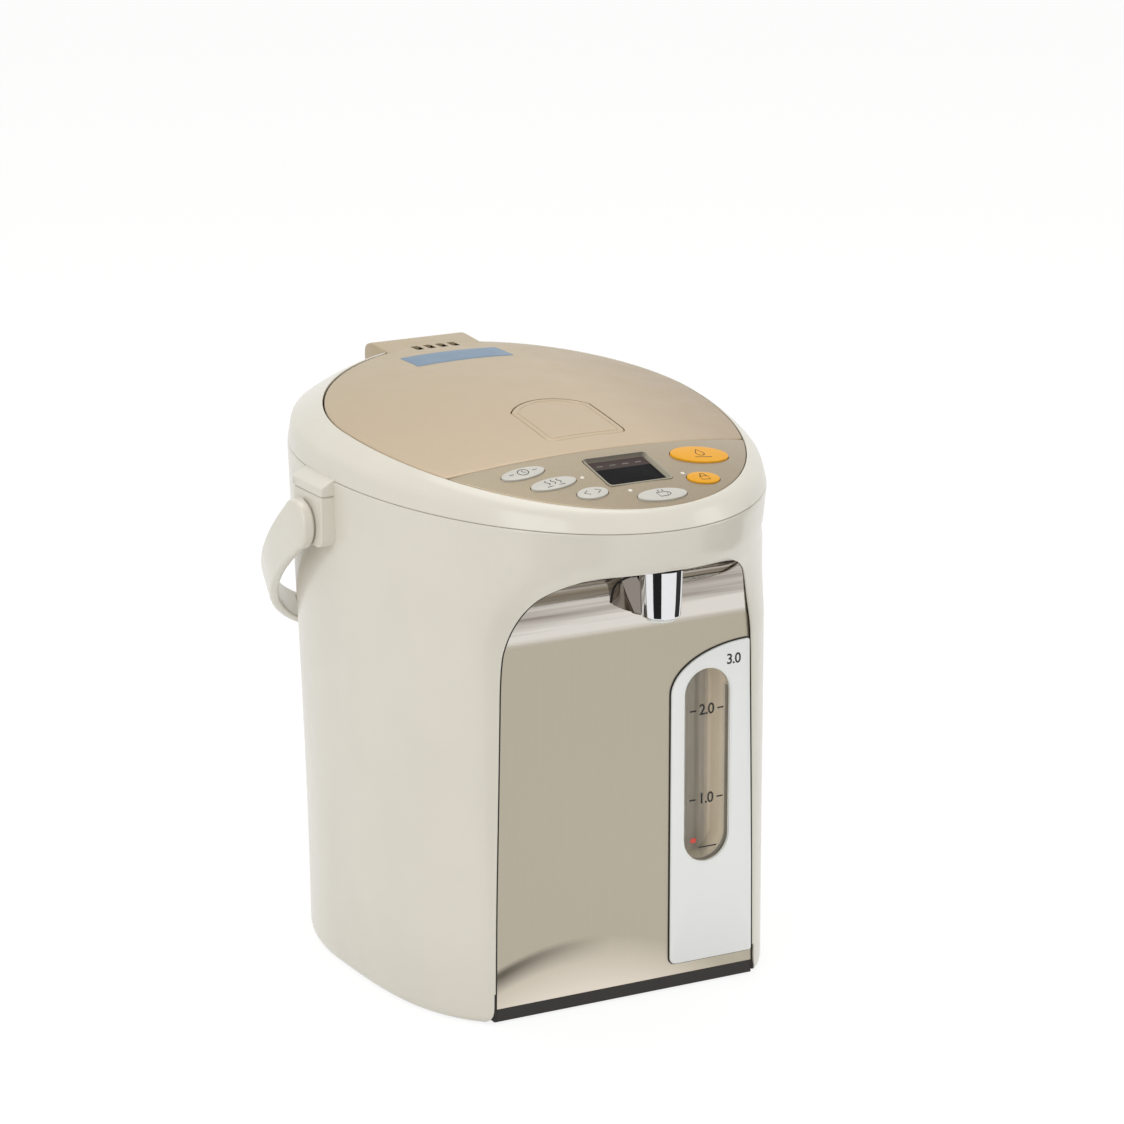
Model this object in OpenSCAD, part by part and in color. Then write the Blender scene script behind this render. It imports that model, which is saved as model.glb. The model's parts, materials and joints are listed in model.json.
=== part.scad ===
// Electric thermo pot: a 3 litre vacuum-panel kettle with a motor pump, a hinged
// lid with a push lever, a front control panel, a water gauge and a carry handle.
// Millimetres, +Z up. The origin is the middle of the footprint on the table,
// the spout faces -Y and the lid hinge is at +Y.

/* [Body] */
// Height of the lid crest above the table
crest_h = 288; // [286:1:290]
// Width of the body at the shoulder seam
body_w = 216; // [212:1:219]
// Width of the body at the foot
foot_w = 191; // [188:1:196]
// Reach of the head in front of the origin
head_front = 149.5; // [148:0.5:151]
// Reach of the shoulder behind the origin
shoulder_rear = 138; // [136:0.5:139]
// Wall thickness of the moulded shells
wall = 2.6; // [2.2:0.1:3]

/* [Lid] */
// Half width of the lid and panel oval
lid_half_w = 96.3; // [94:0.1:97]
// Radius of the fall of the top towards the spout
fall_r = 740; // [700:10:800]
// Radius of the crown of the top from side to side
crown_r = 435; // [400:5:500]
// Thickness of the lid and panel skins
skin = 2.4; // [2:0.1:2.6]
// Diameter of the hinge pin
hinge_pin_d = 5; // [4:0.5:5.5]

/* [Front] */
// Width of the steel front plate
plate_w = 139.8; // [134:0.2:142]
// Radius of the polished cove under the head
cove_r = 46; // [45:0.5:47]
// Thickness of the steel front plate
plate_t = 0.8; // [0.6:0.1:1]
// Length of the gauge slot
slot_h = 98; // [90:1:100]
// Width of the gauge slot
slot_w = 25.5; // [22:0.5:27]

/* [Vessel] */
// Inside diameter of the water vessel
vessel_d = 168; // [160:1:169]
// Height of the vessel floor above the table
vessel_floor = 51; // [50:0.5:53]
// Thickness of the insulation around the vessel
insulation = 7.2; // [5:0.1:7.4]

/* [Handle] */
// Height of the handle pivots
pivot_z = 228.7; // [226:0.1:231]
// Length of the handle from the pivots to the inside of the grip
handle_reach = 157.4; // [157:0.2:160]
// Thickness of the handle strap
strap_t = 4.6; // [4:0.1:5]
// Angle at which the stored handle hangs below level
rest_angle = 35; // [33:0.5:35]

/* [Keys] */
// Travel of every key
key_travel = 1; // [0.6:0.1:1]
// Gap between a key and its hole
key_gap = 0.35; // [0.3:0.05:0.5]

/* [Hidden] */

$fn = 64;
cols = 72;
eps = 0.01;

// Heights of the shoulder seam and of the shoulder crease, both rise to the rear
seam_h = 247;
seam_mid = 252.3;
seam_rise = 0.036;
crease_mid = 263.2;
crease_rise = 0.065;
seam_gap = 0.3;

// The oval of the lid and panel, and the line where the top starts to fall
oval_y = 4;
oval_front = 142.8;
oval_rear = 93.4;
ring_grow = 0.6;
fall_start = 77;
seam_arc_r = 500;
seam_y = -79.5;
seam_arc_y = seam_y + seam_arc_r;

// Flat foot of the head, where the cove starts, and the head's lower lip
cove_z = 180;
plate_y = -101;
cove_y = plate_y - cove_r;
lip_z = cove_z + cove_r + 1;
plate_z = 7.5;
open_w = plate_w + 1;
foot_z = 2;

// Spout, gauge and tube places
spout_y = -133.8;
spout_bottom = 202.2;
gauge_x = 44.8;
slot_low = 64;
tube_x = 45;
tube_y = -90;
tube_r = 6.5;

// Hinge axis, handle pivot, vessel axis and pump axis
hinge_y = 108;
hinge_z = 272;
barrel_r = 8.8;
pivot_y = 11.4;
boss_x = 114;
strap_x = 116.2;
boss_split = 244.8;
pin_r = 4;
run_gap = 0.05;
vessel_y = 16;
vessel_top = 226;
neck_z = vessel_top - 10.2;
pump_x = 18;
pump_y = -48;

// Lid lever and latch
lever_w = 43;
lever_front = -64.5;
lever_side = -27;
lever_apex = -15.4;
lever_gap = 0.5;
lever_axis_y = -22;
lever_axis_z = 269.1;
well_floor = 260;

// Keys: centre x, centre y, half length, half width
keys = [
  ["timer", -49, -88.8, 11.3, 5],
  ["reboil", -40.8, -103.6, 11.8, 5],
  ["select", -28.2, -118.4, 7.9, 5],
  ["keep_warm", 3, -129.4, 13, 5.4],
  ["lock", 32.2, -117.8, 8.6, 5.6],
  ["dispense", 44, -94.2, 15.6, 8.7]
];
lcd_y = -102;
lcd_w = 32;
lcd_d = 26;
leds = [[-25.2, -103.3], [-9.7, -121.5], [24.6, -111.6]];
board_drop = 13.4;
board_slope = (fall_start - lcd_y) / fall_r;

// Colours
ivory = "#dcd8cd";
champagne = "#cbb89c";
taupe = "#a99a83";
steel = "#b3aca0";
dark = "#2a2826";

// ---------- surfaces and rings ----------

// Height of the crowned top
function lid_z(x, y) =
  crest_h - pow(max(fall_start - y, 0), 2) / (2 * fall_r) - x * x / (2 * crown_r);

function seam_z(y) = seam_mid + seam_rise * y;
function crease_z(y) = crease_mid + crease_rise * y;

// Point of an egg at angle q: half width a, middle yc, reach bf to the front and
// br to the rear. n squares the front half and taper draws its sides together.
function egg(q, a, yc, bf, br, n = 2, taper = 0) =
  let (c = cos(q), s = sin(q))
  s >= 0 ? [a * c, yc + br * s]
  : let (dx = pow(abs(c), 2 / 3), dy = pow(abs(s), 2 / 3),
         k = pow(pow(dx, n) + pow(dy, n), -1 / n))
    [sign(c) * (a - taper * dy * k) * dx * k, yc - bf * dy * k];

function egg_ring(a, yc, bf, br, n = 2, taper = 0) =
  [for (i = [0:cols - 1]) egg(360 * i / cols, a, yc, bf, br, n, taper)];

// Ring of the lid oval, grown by g and pulled in at the rear by back
function oval_ring(g, back = 0) =
  egg_ring(lid_half_w + g, oval_y, oval_front + g, oval_rear + g - back);

function flat_ring(r, z) = [for (p = r) [p.x, p.y, z]];
function top_ring(r, dz) = [for (p = r) [p.x, p.y, lid_z(p.x, p.y) + dz]];
function shrink(r, k) = [for (p = r) [p.x * k, oval_y + (p.y - oval_y) * k]];

// Outline of the body at height z, drawn in by t
function body_half_w(z) = foot_w / 2 + (body_w - foot_w) / 2 * pow(z / seam_h, 0.9);
function body_mid(z) = 24 - 16 * z / seam_h;
function body_flare(z) =
  117 + (head_front - 120.5) * pow((z - cove_z) / (lip_z - cove_z), 2.2);
function head_line(z) = head_front - 3.5 * (seam_h - z) / (seam_h - lip_z);
function soft_min(a, b, k) = min(a, b) - pow(max(k - abs(a - b), 0), 2) / (4 * k);
function body_front(z) =
  z < cove_z ? 115.5 + 1.5 * z / cove_z : soft_min(body_flare(z), head_line(z), 7);
function body_rear(z) = shoulder_rear - 7 * (1 - z / seam_h);
function body_square(z) =
  z < cove_z ? 4 - z / cove_z : max(2, 3 - (z - cove_z) / (lip_z - cove_z));
function body_taper(z) = 4 * max(0, 1 - z / lip_z);
function body_rise(z, y) =
  z <= lip_z ? z : lip_z + (z - lip_z) * (seam_z(y) - lip_z) / (seam_h - lip_z);
function body_ring(z, t) =
  let (m = body_mid(z))
  [for (p = egg_ring(body_half_w(z) - t, m, body_front(z) + m - t, body_rear(z) - m - t,
                     body_square(z), body_taper(z)))
    [p.x, p.y, body_rise(z, p.y)]];

// Half-ellipse point of the handle strap in its own plane
function bow(q, a, b) = [a * cos(q), b * sin(q)];

// ---------- builders ----------

// Hollow band: the last ring joins the first again
module ring_band(rings) {
  m = len(rings);
  n = len(rings[0]);
  polyhedron(
    points = [for (r = rings) each r],
    faces = [for (i = [0:m - 1], j = [0:n - 1])
      let (a = i * n + j, b = i * n + (j + 1) % n,
           c = ((i + 1) % m) * n + (j + 1) % n, d = ((i + 1) % m) * n + j)
      each [[a, c, b], [a, d, c]]]);
}

// Closed solid: rings from the bottom up, fans close both ends
module ring_stack(rings) {
  m = len(rings);
  n = len(rings[0]);
  function mid(r) = [for (k = [0:2]) let (v = [for (p = r) p[k]]) (min(v) + max(v)) / 2];
  low = m * n;
  polyhedron(
    points = concat([for (r = rings) each r], [mid(rings[0]), mid(rings[m - 1])]),
    faces = concat(
      [for (i = [0:m - 2], j = [0:n - 1])
        let (a = i * n + j, b = i * n + (j + 1) % n,
             c = (i + 1) * n + (j + 1) % n, d = (i + 1) * n + j)
        each [[a, c, b], [a, d, c]]],
      [for (j = [0:n - 1]) [low, j, (j + 1) % n]],
      [for (j = [0:n - 1]) [low + 1, (m - 1) * n + (j + 1) % n, (m - 1) * n + j]]));
}

// Extrude a (y, z) profile along X, centred
module along_x(w) {
  rotate([90, 0, 90]) translate([0, 0, -w / 2]) linear_extrude(w) children();
}

// Cylinder along X between two places
module rod_x(x0, x1, y, z, r) {
  translate([x0, y, z]) rotate([0, 90, 0]) cylinder(h = x1 - x0, r = r);
}

// Plate in the X-Z plane: the child outline, from y0 to y1
module along_y(y0, y1) {
  translate([0, y1, 0]) rotate([90, 0, 0]) linear_extrude(y1 - y0) children();
}

module tube(h, r, t) {
  difference() {
    cylinder(h = h, r = r);
    translate([0, 0, -1]) cylinder(h = h + 2, r = r - t);
  }
}

module round_rect(w, d, r) {
  union() {
    square([w - 2 * r, d], center = true);
    square([w, d - 2 * r], center = true);
    for (sx = [-1, 1], sy = [-1, 1])
      translate([sx * (w / 2 - r), sy * (d / 2 - r)]) circle(r = r);
  }
}

// Stadium standing on end, in the plane of the front
module slot_shape(w, h) {
  union() {
    translate([-w / 2, w / 2]) square([w, h - w]);
    translate([0, w / 2]) circle(d = w);
    translate([0, h - w / 2]) circle(d = w);
  }
}

module oval(a, b) {
  polygon([for (q = [0:10:350]) [a * cos(q), b * sin(q)]]);
}

// Moves children onto the crowned top at (x, y), square to the surface
module on_top(x, y) {
  translate([x, y, lid_z(x, y)])
    rotate([atan((fall_start - y) / fall_r), atan(x / crown_r), 0])
      children();
}

// Region in front of the steel face, moved back by off: flat below, cove above
module cove_region(off, low) {
  union() {
    translate([-300, low]) square([300 + plate_y + off, cove_z - low + eps]);
    translate([cove_y, cove_z]) circle(r = cove_r + off, $fn = 128);
    translate([-300, cove_z - 40]) square([300 + cove_y, 40 + cove_r + off]);
  }
}

// Body outline as one solid through the given rows, drawn in by t
module body_solid(t, rows) {
  ring_stack([for (z = rows) body_ring(z, t)]);
}
front_rows = [0, 150, 180, 190, 200, 209, 217, 222, 227, 232];

// Column beside the handle: the body outline carried on above the seam
module body_column(t) {
  ring_stack([body_ring(205, t), body_ring(227, t), body_ring(247, t),
              [for (p = body_ring(247, t)) p + [0, 0, 14]]]);
}

// Disc inside the arc that parts the lid from the panel
module seam_disc(g, z0, z1) {
  translate([0, seam_arc_y, z0]) cylinder(h = z1 - z0, r = seam_arc_r + g, $fn = 360);
}

// ---------- outer body ----------

module body_shell() color(ivory)
  difference() {
    ring_band(concat(
      [body_ring(foot_z, 2.4), body_ring(3.2, 0.9)],
      [for (z = [6, 60, 120, 160, 180, 190, 200, 209, 217, 222, 227, 232, 237, 247])
        body_ring(z, 0)],
      [for (z = [247, 236, 227, 218, 205, 190, 160, 100]) body_ring(z, wall)],
      [body_ring(foot_z, wall)]));
    along_x(open_w) cove_region(plate_t + 0.3, -5);
    translate([-open_w / 2 - 3, -150, -1]) cube([open_w + 6, 60, plate_z + 0.7]);
    // window of the mains inlet
    translate([0, 130, 42]) cube([41, 30, 25], center = true);
    // holes of the handle pins
    for (s = [-1, 1])
      rod_x(s > 0 ? 95 : -125, s > 0 ? 125 : -95, pivot_y, pivot_z, pin_r + 0.3);
  }

module bottom_cover() color(dark)
  difference() {
    union() {
      intersection() {
        ring_stack([body_ring(2.2, wall + 0.3), body_ring(16, wall + 0.3)]);
        translate([-150, plate_y + 4, 0]) cube([300, 300, 40]);
      }
      // front lip under the steel plate
      translate([-open_w / 2 - 2.6, plate_y + 3, 1.6])
        cube([open_w + 5.2, 4, plate_z - 2]);
    }
    // inside of the tray
    intersection() {
      ring_stack([body_ring(4.6, wall + 2.9), body_ring(20, wall + 2.9)]);
      translate([-150, plate_y + 9, 0]) cube([300, 300, 60]);
    }
    // cooling slots under the motor and the board
    for (i = [0:6], y = [-30, 62])
      translate([-48 + 16 * i, y, 0]) linear_extrude(10) slot_shape(5, 26);
    for (p = feet_at) translate([p.x, p.y, 0]) cylinder(h = 3.4, r = 9.2);
    for (p = screws_at) translate([p.x, p.y, 0]) {
      cylinder(h = 10, r = 2);
      cylinder(h = 3.4, r = 4.4);
    }
    translate([0, 122, 20]) cube([50, 30, 20], center = true);
  }

feet_at = [[-60, -70], [60, -70], [-58, 88], [58, 88]];
screws_at = [[-76, 10], [76, 10], [0, -84], [0, 112]];

module feet() color("#3b3a38")
  for (p = feet_at) translate([p.x, p.y, 0]) {
    cylinder(h = 3.3, r = 9);
    cylinder(h = 0.8, r = 8);
  }

module base_screws() color("silver")
  for (p = screws_at) translate([p.x, p.y, 0]) {
    difference() {
      translate([0, 0, 2.4]) cylinder(h = 0.9, r = 3.8);
      for (a = [0, 90]) rotate(a) translate([-2.2, -0.4, 2.2]) cube([4.4, 0.8, 0.8]);
    }
    translate([0, 0, 3.3]) cylinder(h = 12, r = 1.5);
  }

// Shoulder: inner edge round the lid oval, sloping band, crease and side
module shoulder_ring() color(ivory)
  difference() {
    ring_band([
      lift(egg_ring(body_w / 2 - 0.15, 8, head_front + 7.85, shoulder_rear - 8.15), 0),
      lift(egg_ring(body_w / 2 - 1, 8, head_front + 3, shoulder_rear - 14), 1),
      shoulder_mid(),
      top_ring(oval_ring(ring_grow, -1.2), 0.3),
      flat_ring(oval_ring(ring_grow, -1.2), 247.2),
      flat_ring(oval_ring(ring_grow + 1.4, -1.2), 247.2),
      top_ring(oval_ring(ring_grow + 1.4, -1.2), -4.6),
      lift(egg_ring(body_w / 2 - 3.6, 8, head_front + 1, shoulder_rear - 16.6), 2),
      lift(egg_ring(body_w / 2 - 2.7, 8, head_front + 5.3, shoulder_rear - 10.7), 0)
    ]);
    translate([-27.3, 85, 262]) cube([54.6, hinge_y + 18.2 - 85, 40]);
  }

// Height rules of the shoulder's rings: 0 seam, 1 crease, 2 under the crease
function lift(r, k) =
  [for (p = r) [p.x, p.y,
    k == 0 ? seam_z(p.y) + seam_gap : crease_z(p.y) - (k == 2 ? 3 : 0)]];

function shoulder_mid() =
  let (a = lift(egg_ring(body_w / 2 - 1, 8, head_front + 3, shoulder_rear - 14), 1),
       b = top_ring(oval_ring(ring_grow, -1.2), 0.3))
  [for (i = [0:cols - 1]) (a[i] + b[i]) / 2 + [0, 0, 0.9]];

// Deck under the lid with the mouth funnel and the wall behind the panel
module mouth_frame() color("#e6e3da")
  difference() {
    union() {
      translate([0, 0, 243.8]) linear_extrude(3) difference() {
        intersection() {
          polygon(oval_ring(0.3, -1.2));
          translate([0, seam_arc_y]) circle(r = seam_arc_r - 1, $fn = 360);
        }
        translate([0, vessel_y]) circle(r = 78);
      }
      translate([-34, 97, 243.8]) cube([68, 26, 3]);
      translate([0, 0, 243.8]) linear_extrude(18.4) intersection() {
        polygon(oval_ring(0.3, -1.2));
        translate([0, seam_arc_y]) difference() {
          circle(r = seam_arc_r - 1, $fn = 360);
          circle(r = seam_arc_r - 2.9, $fn = 360);
        }
      }
      translate([0, vessel_y, 0]) rotate_extrude($fn = 96)
        polygon([[78, 246.8], [75.8, 239], [75.8, 226.4], [78.2, 226.4], [78.2, 238.8],
                 [80.4, 246.8]]);
    }
    // catches of the latch noses
    for (s = [-1, 1]) translate([s * 14 - 4.6, -90, 250.6]) cube([9.2, 20, 4.8]);
  }

// ---------- control panel ----------

module panel_blank(g, over, thick) {
  ring_stack(concat(
    [for (k = [0.12, 0.4, 0.7]) top_ring(shrink(oval_ring(g), k), over - thick)],
    [top_ring(oval_ring(g - 1.2), over - thick), top_ring(oval_ring(g), over)],
    [for (k = [0.85, 0.7, 0.55, 0.4, 0.12]) top_ring(shrink(oval_ring(g), k), over)]));
}

module control_panel() color(taupe)
  difference() {
    panel_blank(0.25, 0, skin);
    seam_disc(0.5, 200, 320);
    for (k = keys)
      on_top(k[1], k[2]) translate([0, 0, -8]) linear_extrude(16)
        oval(k[3] + key_gap, k[4] + key_gap);
    on_top(0, lcd_y) translate([0, 0, -8]) linear_extrude(16)
      round_rect(lcd_w + 3.4, lcd_d + 3.4, 3.2);
    for (p = leds) on_top(p.x, p.y) translate([0, 0, -8]) cylinder(h = 16, r = 1.3);
  }

module panel_tray() color("#8d8a84")
  difference() {
    translate([0, 0, 241.8]) linear_extrude(1.8) difference() {
      polygon([for (p = body_ring(242, wall + 0.5)) [p.x, p.y]]);
      translate([0, seam_arc_y]) circle(r = seam_arc_r, $fn = 360);
    }
    for (s = [-1, 1]) translate([s * 40, -92, 240]) cylinder(h = 6, r = 4);
  }

// Place of everything that lies along the board, under the panel
module board_frame() {
  translate([0, lcd_y, lid_z(0, lcd_y) - board_drop])
    rotate([atan(board_slope), 0, 0]) children();
}

module control_board() color("#2f6b46")
  difference() {
    board_frame() translate([0, -3, -1.6]) linear_extrude(1.6)
      polygon([[-56, 17], [56, 17], [56, 6], [44, -14], [24, -27], [-24, -27], [-44, -14],
               [-56, 6]]);
    for (s = [-1, 1]) board_frame() translate([s * 50, 10, -5]) cylinder(h = 10, r = 1.6);
  }

// Distance from the top surface down to the board under a key
function board_depth(k) =
  (lid_z(k[1], k[2]) - lid_z(0, lcd_y) + board_drop - board_slope * (k[2] - lcd_y)) * 0.972;

module tact_switches() color("#33312f")
  for (k = keys) on_top(k[1], k[2]) {
    low = board_depth(k) - 0.45;
    translate([-3, -3, -low]) cube([6, 6, low - 7.3]);
    translate([0, 0, -7.4]) cylinder(h = 0.5, r = 1.6);
  }

// Frame of the display, its lip steps down to the glass
module lcd_bezel() color("#b9ab98")
  on_top(0, lcd_y) difference() {
    union() {
      translate([0, 0, -3.2]) linear_extrude(3) round_rect(lcd_w + 2.8, lcd_d + 2.8, 2.9);
      translate([0, 0, -4.4]) linear_extrude(1.3) round_rect(lcd_w + 6, lcd_d + 6, 2.9);
    }
    translate([0, 0, -1.1]) linear_extrude(3) round_rect(lcd_w + 1, lcd_d + 1, 2.2);
    translate([0, 0, -6]) linear_extrude(8) round_rect(lcd_w - 1, lcd_d - 1, 1.6);
  }

module lcd_window() color("#55504c", 0.5)
  on_top(0, lcd_y) translate([0, 0, -3]) linear_extrude(1.5)
    round_rect(lcd_w - 1.4, lcd_d - 1.4, 1.4);

module lcd_module() color("#3a4038")
  on_top(0, lcd_y) {
    translate([-14, -10.5, -5.4]) cube([28, 21, 1.6]);
    translate([-16, -12.5, -8.6]) cube([32, 25, 3.3]);
  }

module led_lenses() color("#e8e4da")
  for (p = leds) on_top(p.x, p.y) {
    translate([0, 0, -3.4]) cylinder(h = 3.5, r = 1.1);
    translate([0, 0, -4.4]) cylinder(h = 1.2, r = 1.5);
  }

// One key: cap through the panel, flange under it and stem over its switch
module key(k, tone) {
  color(tone) on_top(k[1], k[2]) {
    translate([0, 0, -4.1]) linear_extrude(4.4) oval(k[3], k[4]);
    translate([0, 0, 0.2]) linear_extrude(0.5) oval(k[3] - 0.5, k[4] - 0.5);
    translate([0, 0, 0.6]) linear_extrude(0.4) oval(k[3] - 1.6, k[4] - 1.6);
    translate([0, 0, -4.2]) linear_extrude(1) oval(k[3] + 1.1, k[4] + 1.1);
    translate([0, 0, key_travel - 6.6]) cylinder(h = 2.6 - key_travel, r = 1.5);
  }
}
module key_timer() key(keys[0], "#d9d8d2");
module key_reboil() key(keys[1], "#d9d8d2");
module key_select() key(keys[2], "#d9d8d2");
module key_keep_warm() key(keys[3], "#d9d8d2");
module key_lock() key(keys[4], "#f2b233");
module key_dispense() key(keys[5], "#f2b233");

// ---------- front ----------

module front_plate() color(steel)
  difference() {
    intersection() {
      along_x(plate_w) difference() {
        cove_region(plate_t, plate_z);
        cove_region(0, plate_z - 5);
      }
      body_solid(0.5, front_rows);
    }
    translate([gauge_x, 0, slot_low]) along_y(-120, -90) slot_shape(slot_w, slot_h);
    translate([0, spout_y, 200]) cylinder(h = 40, r = 11.2);
  }

module front_frame() color("#77726a")
  difference() {
    union() {
      intersection() {
        along_x(plate_w + 10) difference() {
          cove_region(3.6, plate_z);
          cove_region(plate_t + 0.5, plate_z - 5);
        }
        body_solid(wall + 0.8, front_rows);
      }
      // trough behind the gauge tube
      translate([gauge_x - 15, -98, 58]) cube([1.6, 17, 110]);
      translate([gauge_x + 13.4, -98, 58]) cube([1.6, 17, 110]);
      translate([gauge_x - 15, -82.6, 58]) cube([30, 1.6, 110]);
    }
    translate([gauge_x, 0, slot_low]) along_y(-120, -92) slot_shape(slot_w + 0.6, slot_h + 0.6);
    translate([0, spout_y, 200]) cylinder(h = 40, r = 11.6);
  }

// White plate of the gauge, with a quarter-oval top towards the middle
module gauge_plate() color("#e6e8e8")
  difference() {
    along_y(plate_y - 1.6, plate_y - 0.1) union() {
      polygon(concat(
        [for (q = [90:10:180]) [69.6 + 44.6 * cos(q), 150.5 + 23.4 * sin(q)]],
        [[25, 16.5], [26, 14.4], [28.2, 13.5], [69.6, 13.5]]));
    }
    translate([gauge_x, 0, slot_low]) along_y(-120, -90) slot_shape(slot_w, slot_h);
  }

module gauge_window() color("#d8dcdc", 0.3)
  translate([gauge_x, 0, slot_low + 0.3]) {
    along_y(plate_y - 0.5, plate_y + 1) slot_shape(slot_w - 0.6, slot_h - 0.6);
  }

module gauge_tube() color("#c8dcdc", 0.4)
  translate([tube_x, tube_y, 46]) tube(141, tube_r, 1.4);

module spout_cover() color("#d5d6d8")
  difference() {
    union() {
      intersection() {
        translate([-9.4, spout_y, spout_bottom]) cube([18.8, 36, 30]);
        along_x(30) cove_region(-0.2, 150);
      }
      translate([0, spout_y, spout_bottom])
        cylinder(h = 226.4 - spout_bottom, r1 = 9.4, r2 = 10.4);
    }
    translate([0, spout_y, spout_bottom - 1]) cylinder(h = 40, r = 7.4);
  }

module spout_nozzle() color("#e9ece9", 0.7)
  translate([0, spout_y, 0]) {
    translate([0, 0, spout_bottom - 1.8]) tube(230.6 - spout_bottom, 6.8, 1.9);
  }

// Riser from the gauge tube across to the spout, with the cage of the tip-over valve
module outlet_pipe() color("#e4e2da")
  difference() {
    union() {
      translate([tube_x, tube_y, 187.3]) cylinder(h = 54, r = 7.6);
      pipe_run(5.8);
      translate([0, spout_y, 229.2]) cylinder(h = 6, r = 7.8);
      translate([0, spout_y, 230.7]) cylinder(h = 10.7, r = 9);
    }
    translate([tube_x, tube_y, 190]) cylinder(h = 48, r = 5.6);
    translate([tube_x, tube_y, 180]) cylinder(h = 20, r = 3.8);
    pipe_run(3.6);
    translate([0, spout_y, 228]) cylinder(h = 11, r = 5.2);
  }

module pipe_run(r) {
  run = norm([tube_x, spout_y - tube_y]);
  translate([tube_x, tube_y, 234.8]) rotate([0, 90, atan2(spout_y - tube_y, -tube_x)])
    cylinder(h = run, r = r);
}

module valve_ball() color("silver")
  translate([tube_x, tube_y, 192.3]) sphere(r = 4.4, $fn = 48);

// ---------- water side ----------

module vessel() color("#b9bcbe")
  difference() {
    translate([0, vessel_y, 0]) rotate_extrude($fn = 128) difference() {
      r = vessel_d / 2;
      polygon([[0, vessel_floor - 0.8], [r + 0.8, vessel_floor - 0.8], [r + 0.8, neck_z],
               [r, neck_z], [r, vessel_floor], [0, vessel_floor]]);
    }
    translate([pump_x, pump_y, 40]) cylinder(h = 20, r = 5.6);
  }

// Drawn-in neck with the flange that carries the mouth frame, set edge to edge on the wall
module vessel_neck() color("#b9bcbe")
  translate([0, vessel_y, 0]) rotate_extrude($fn = 128) difference() {
    r = vessel_d / 2;
    polygon([[r + 0.8, neck_z], [r + 0.8, 216.6], [76, 224.6], [76, 225.2], [86, 225.2],
             [86, vessel_top], [75.2, vessel_top], [75.2, 224.1], [r, neck_z]]);
  }

module vessel_insulation() color("#c9ccd0")
  translate([0, vessel_y, 62]) tube(148, vessel_d / 2 + 1.2 + insulation, insulation);

module vessel_support() color("#55524e")
  difference() {
    union() {
      translate([0, vessel_y, 0]) rotate_extrude($fn = 96)
        polygon([[68, 47], [86.6, 47], [86.6, 60], [85.2, 60], [85.2, 49.8], [68, 49.8]]);
      for (a = [45, 135, 255]) translate([0, vessel_y, 0]) rotate(a)
        translate([76, 0, 4.8]) cylinder(h = 42.4, r = 4.5);
    }
    translate([pump_x, pump_y, 40]) cylinder(h = 20, r = 9);
  }

module heater() color("#8f8378")
  translate([0, vessel_y + 12, 0]) {
    translate([0, 0, 47.4]) cylinder(h = 2.6, r = 46);
    for (s = [-1, 1]) translate([s * 30, 0, 39]) cylinder(h = 8.6, r = 2.2);
    for (s = [-1, 1]) translate([s * 30 - 3, -0.5, 31]) cube([6, 1, 8.4]);
  }

module temperature_sensor() color("#d8d2c4")
  translate([0, vessel_y - 42, 0]) {
    translate([0, 0, 42]) cylinder(h = 8, r = 5);
    translate([-9, -4, 40.4]) cube([18, 8, 1.8]);
  }

// Centrifugal pump on the vessel's outlet
module pump_housing() color("#dad6cc")
  translate([pump_x, pump_y, 0])
    difference() {
      union() {
        translate([0, 0, 27.4]) cylinder(h = 14.6, r = 19);
        translate([0, 0, 41]) cylinder(h = 8.9, r = 8);
        for (a = [45, 135, 225, 315]) rotate(a) translate([21, 0, 27.4])
          cylinder(h = 6, r = 3.6);
        rotate(hose_dir) translate([0, 0, 34]) rotate([0, 90, 0]) cylinder(h = 26, r = 5.4);
      }
      translate([0, 0, 29]) cylinder(h = 11.4, r = 16);
      translate([0, 0, 38]) cylinder(h = 20, r = 4.6);
      rotate(hose_dir) translate([0, 0, 34]) rotate([0, 90, 0]) cylinder(h = 40, r = 3.6);
    }
hose_dir = atan2(tube_y - pump_y, tube_x - pump_x);
hose_run = norm([tube_x - pump_x, tube_y - pump_y]);

module pump_impeller() color("#4d6e8f")
  translate([pump_x, pump_y, 0]) {
    difference() {
      union() {
        translate([0, 0, 30]) cylinder(h = 2.4, r = 13.6);
        for (a = [0:60:300]) rotate(a) translate([3, -0.8, 32.2]) cube([10, 1.6, 4.4]);
        translate([0, 0, 32.2]) cylinder(h = 3.4, r = 4.4);
      }
      for (a = [0:90:270]) rotate(a) translate([10.4, 0, 29]) cylinder(h = 2, r = 1.6);
    }
  }

module pump_motor() color("#8a8d90")
  translate([pump_x, pump_y, 0])
    difference() {
      union() {
        translate([0, 0, 5.4]) cylinder(h = 14.6, r = 15);
        translate([0, 0, 19.6]) difference() {
          cylinder(h = 7.6, r = 24);
          translate([0, 0, 2]) cylinder(h = 8, r = 17.4);
        }
      }
      translate([0, 0, 15]) cylinder(h = 10, r = 2.4);
    }

module motor_rotor() color("#3c3c3e")
  translate([pump_x, pump_y, 0]) {
    translate([0, 0, 16]) cylinder(h = 7, r = 2);
    difference() {
      translate([0, 0, 22.6]) cylinder(h = 3.6, r = 15);
      for (a = [0:90:270]) rotate(a) translate([9, 0, 25.2]) cylinder(h = 2, r = 3);
    }
  }

module outlet_hose() color("#c9c2b6")
  difference() {
    union() {
      translate([pump_x, pump_y, 34]) rotate([0, 90, hose_dir]) translate([0, 0, 26.2])
        cylinder(h = hose_run - 26.2, r = 6);
      translate([tube_x, tube_y, 25]) cylinder(h = 20.8, r = 7);
    }
    translate([pump_x, pump_y, 34]) rotate([0, 90, hose_dir]) translate([0, 0, 20])
      cylinder(h = hose_run - 20, r = 3.6);
    translate([tube_x, tube_y, 27.4]) cylinder(h = 20, r = 4.8);
  }

// ---------- electrics ----------

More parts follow.
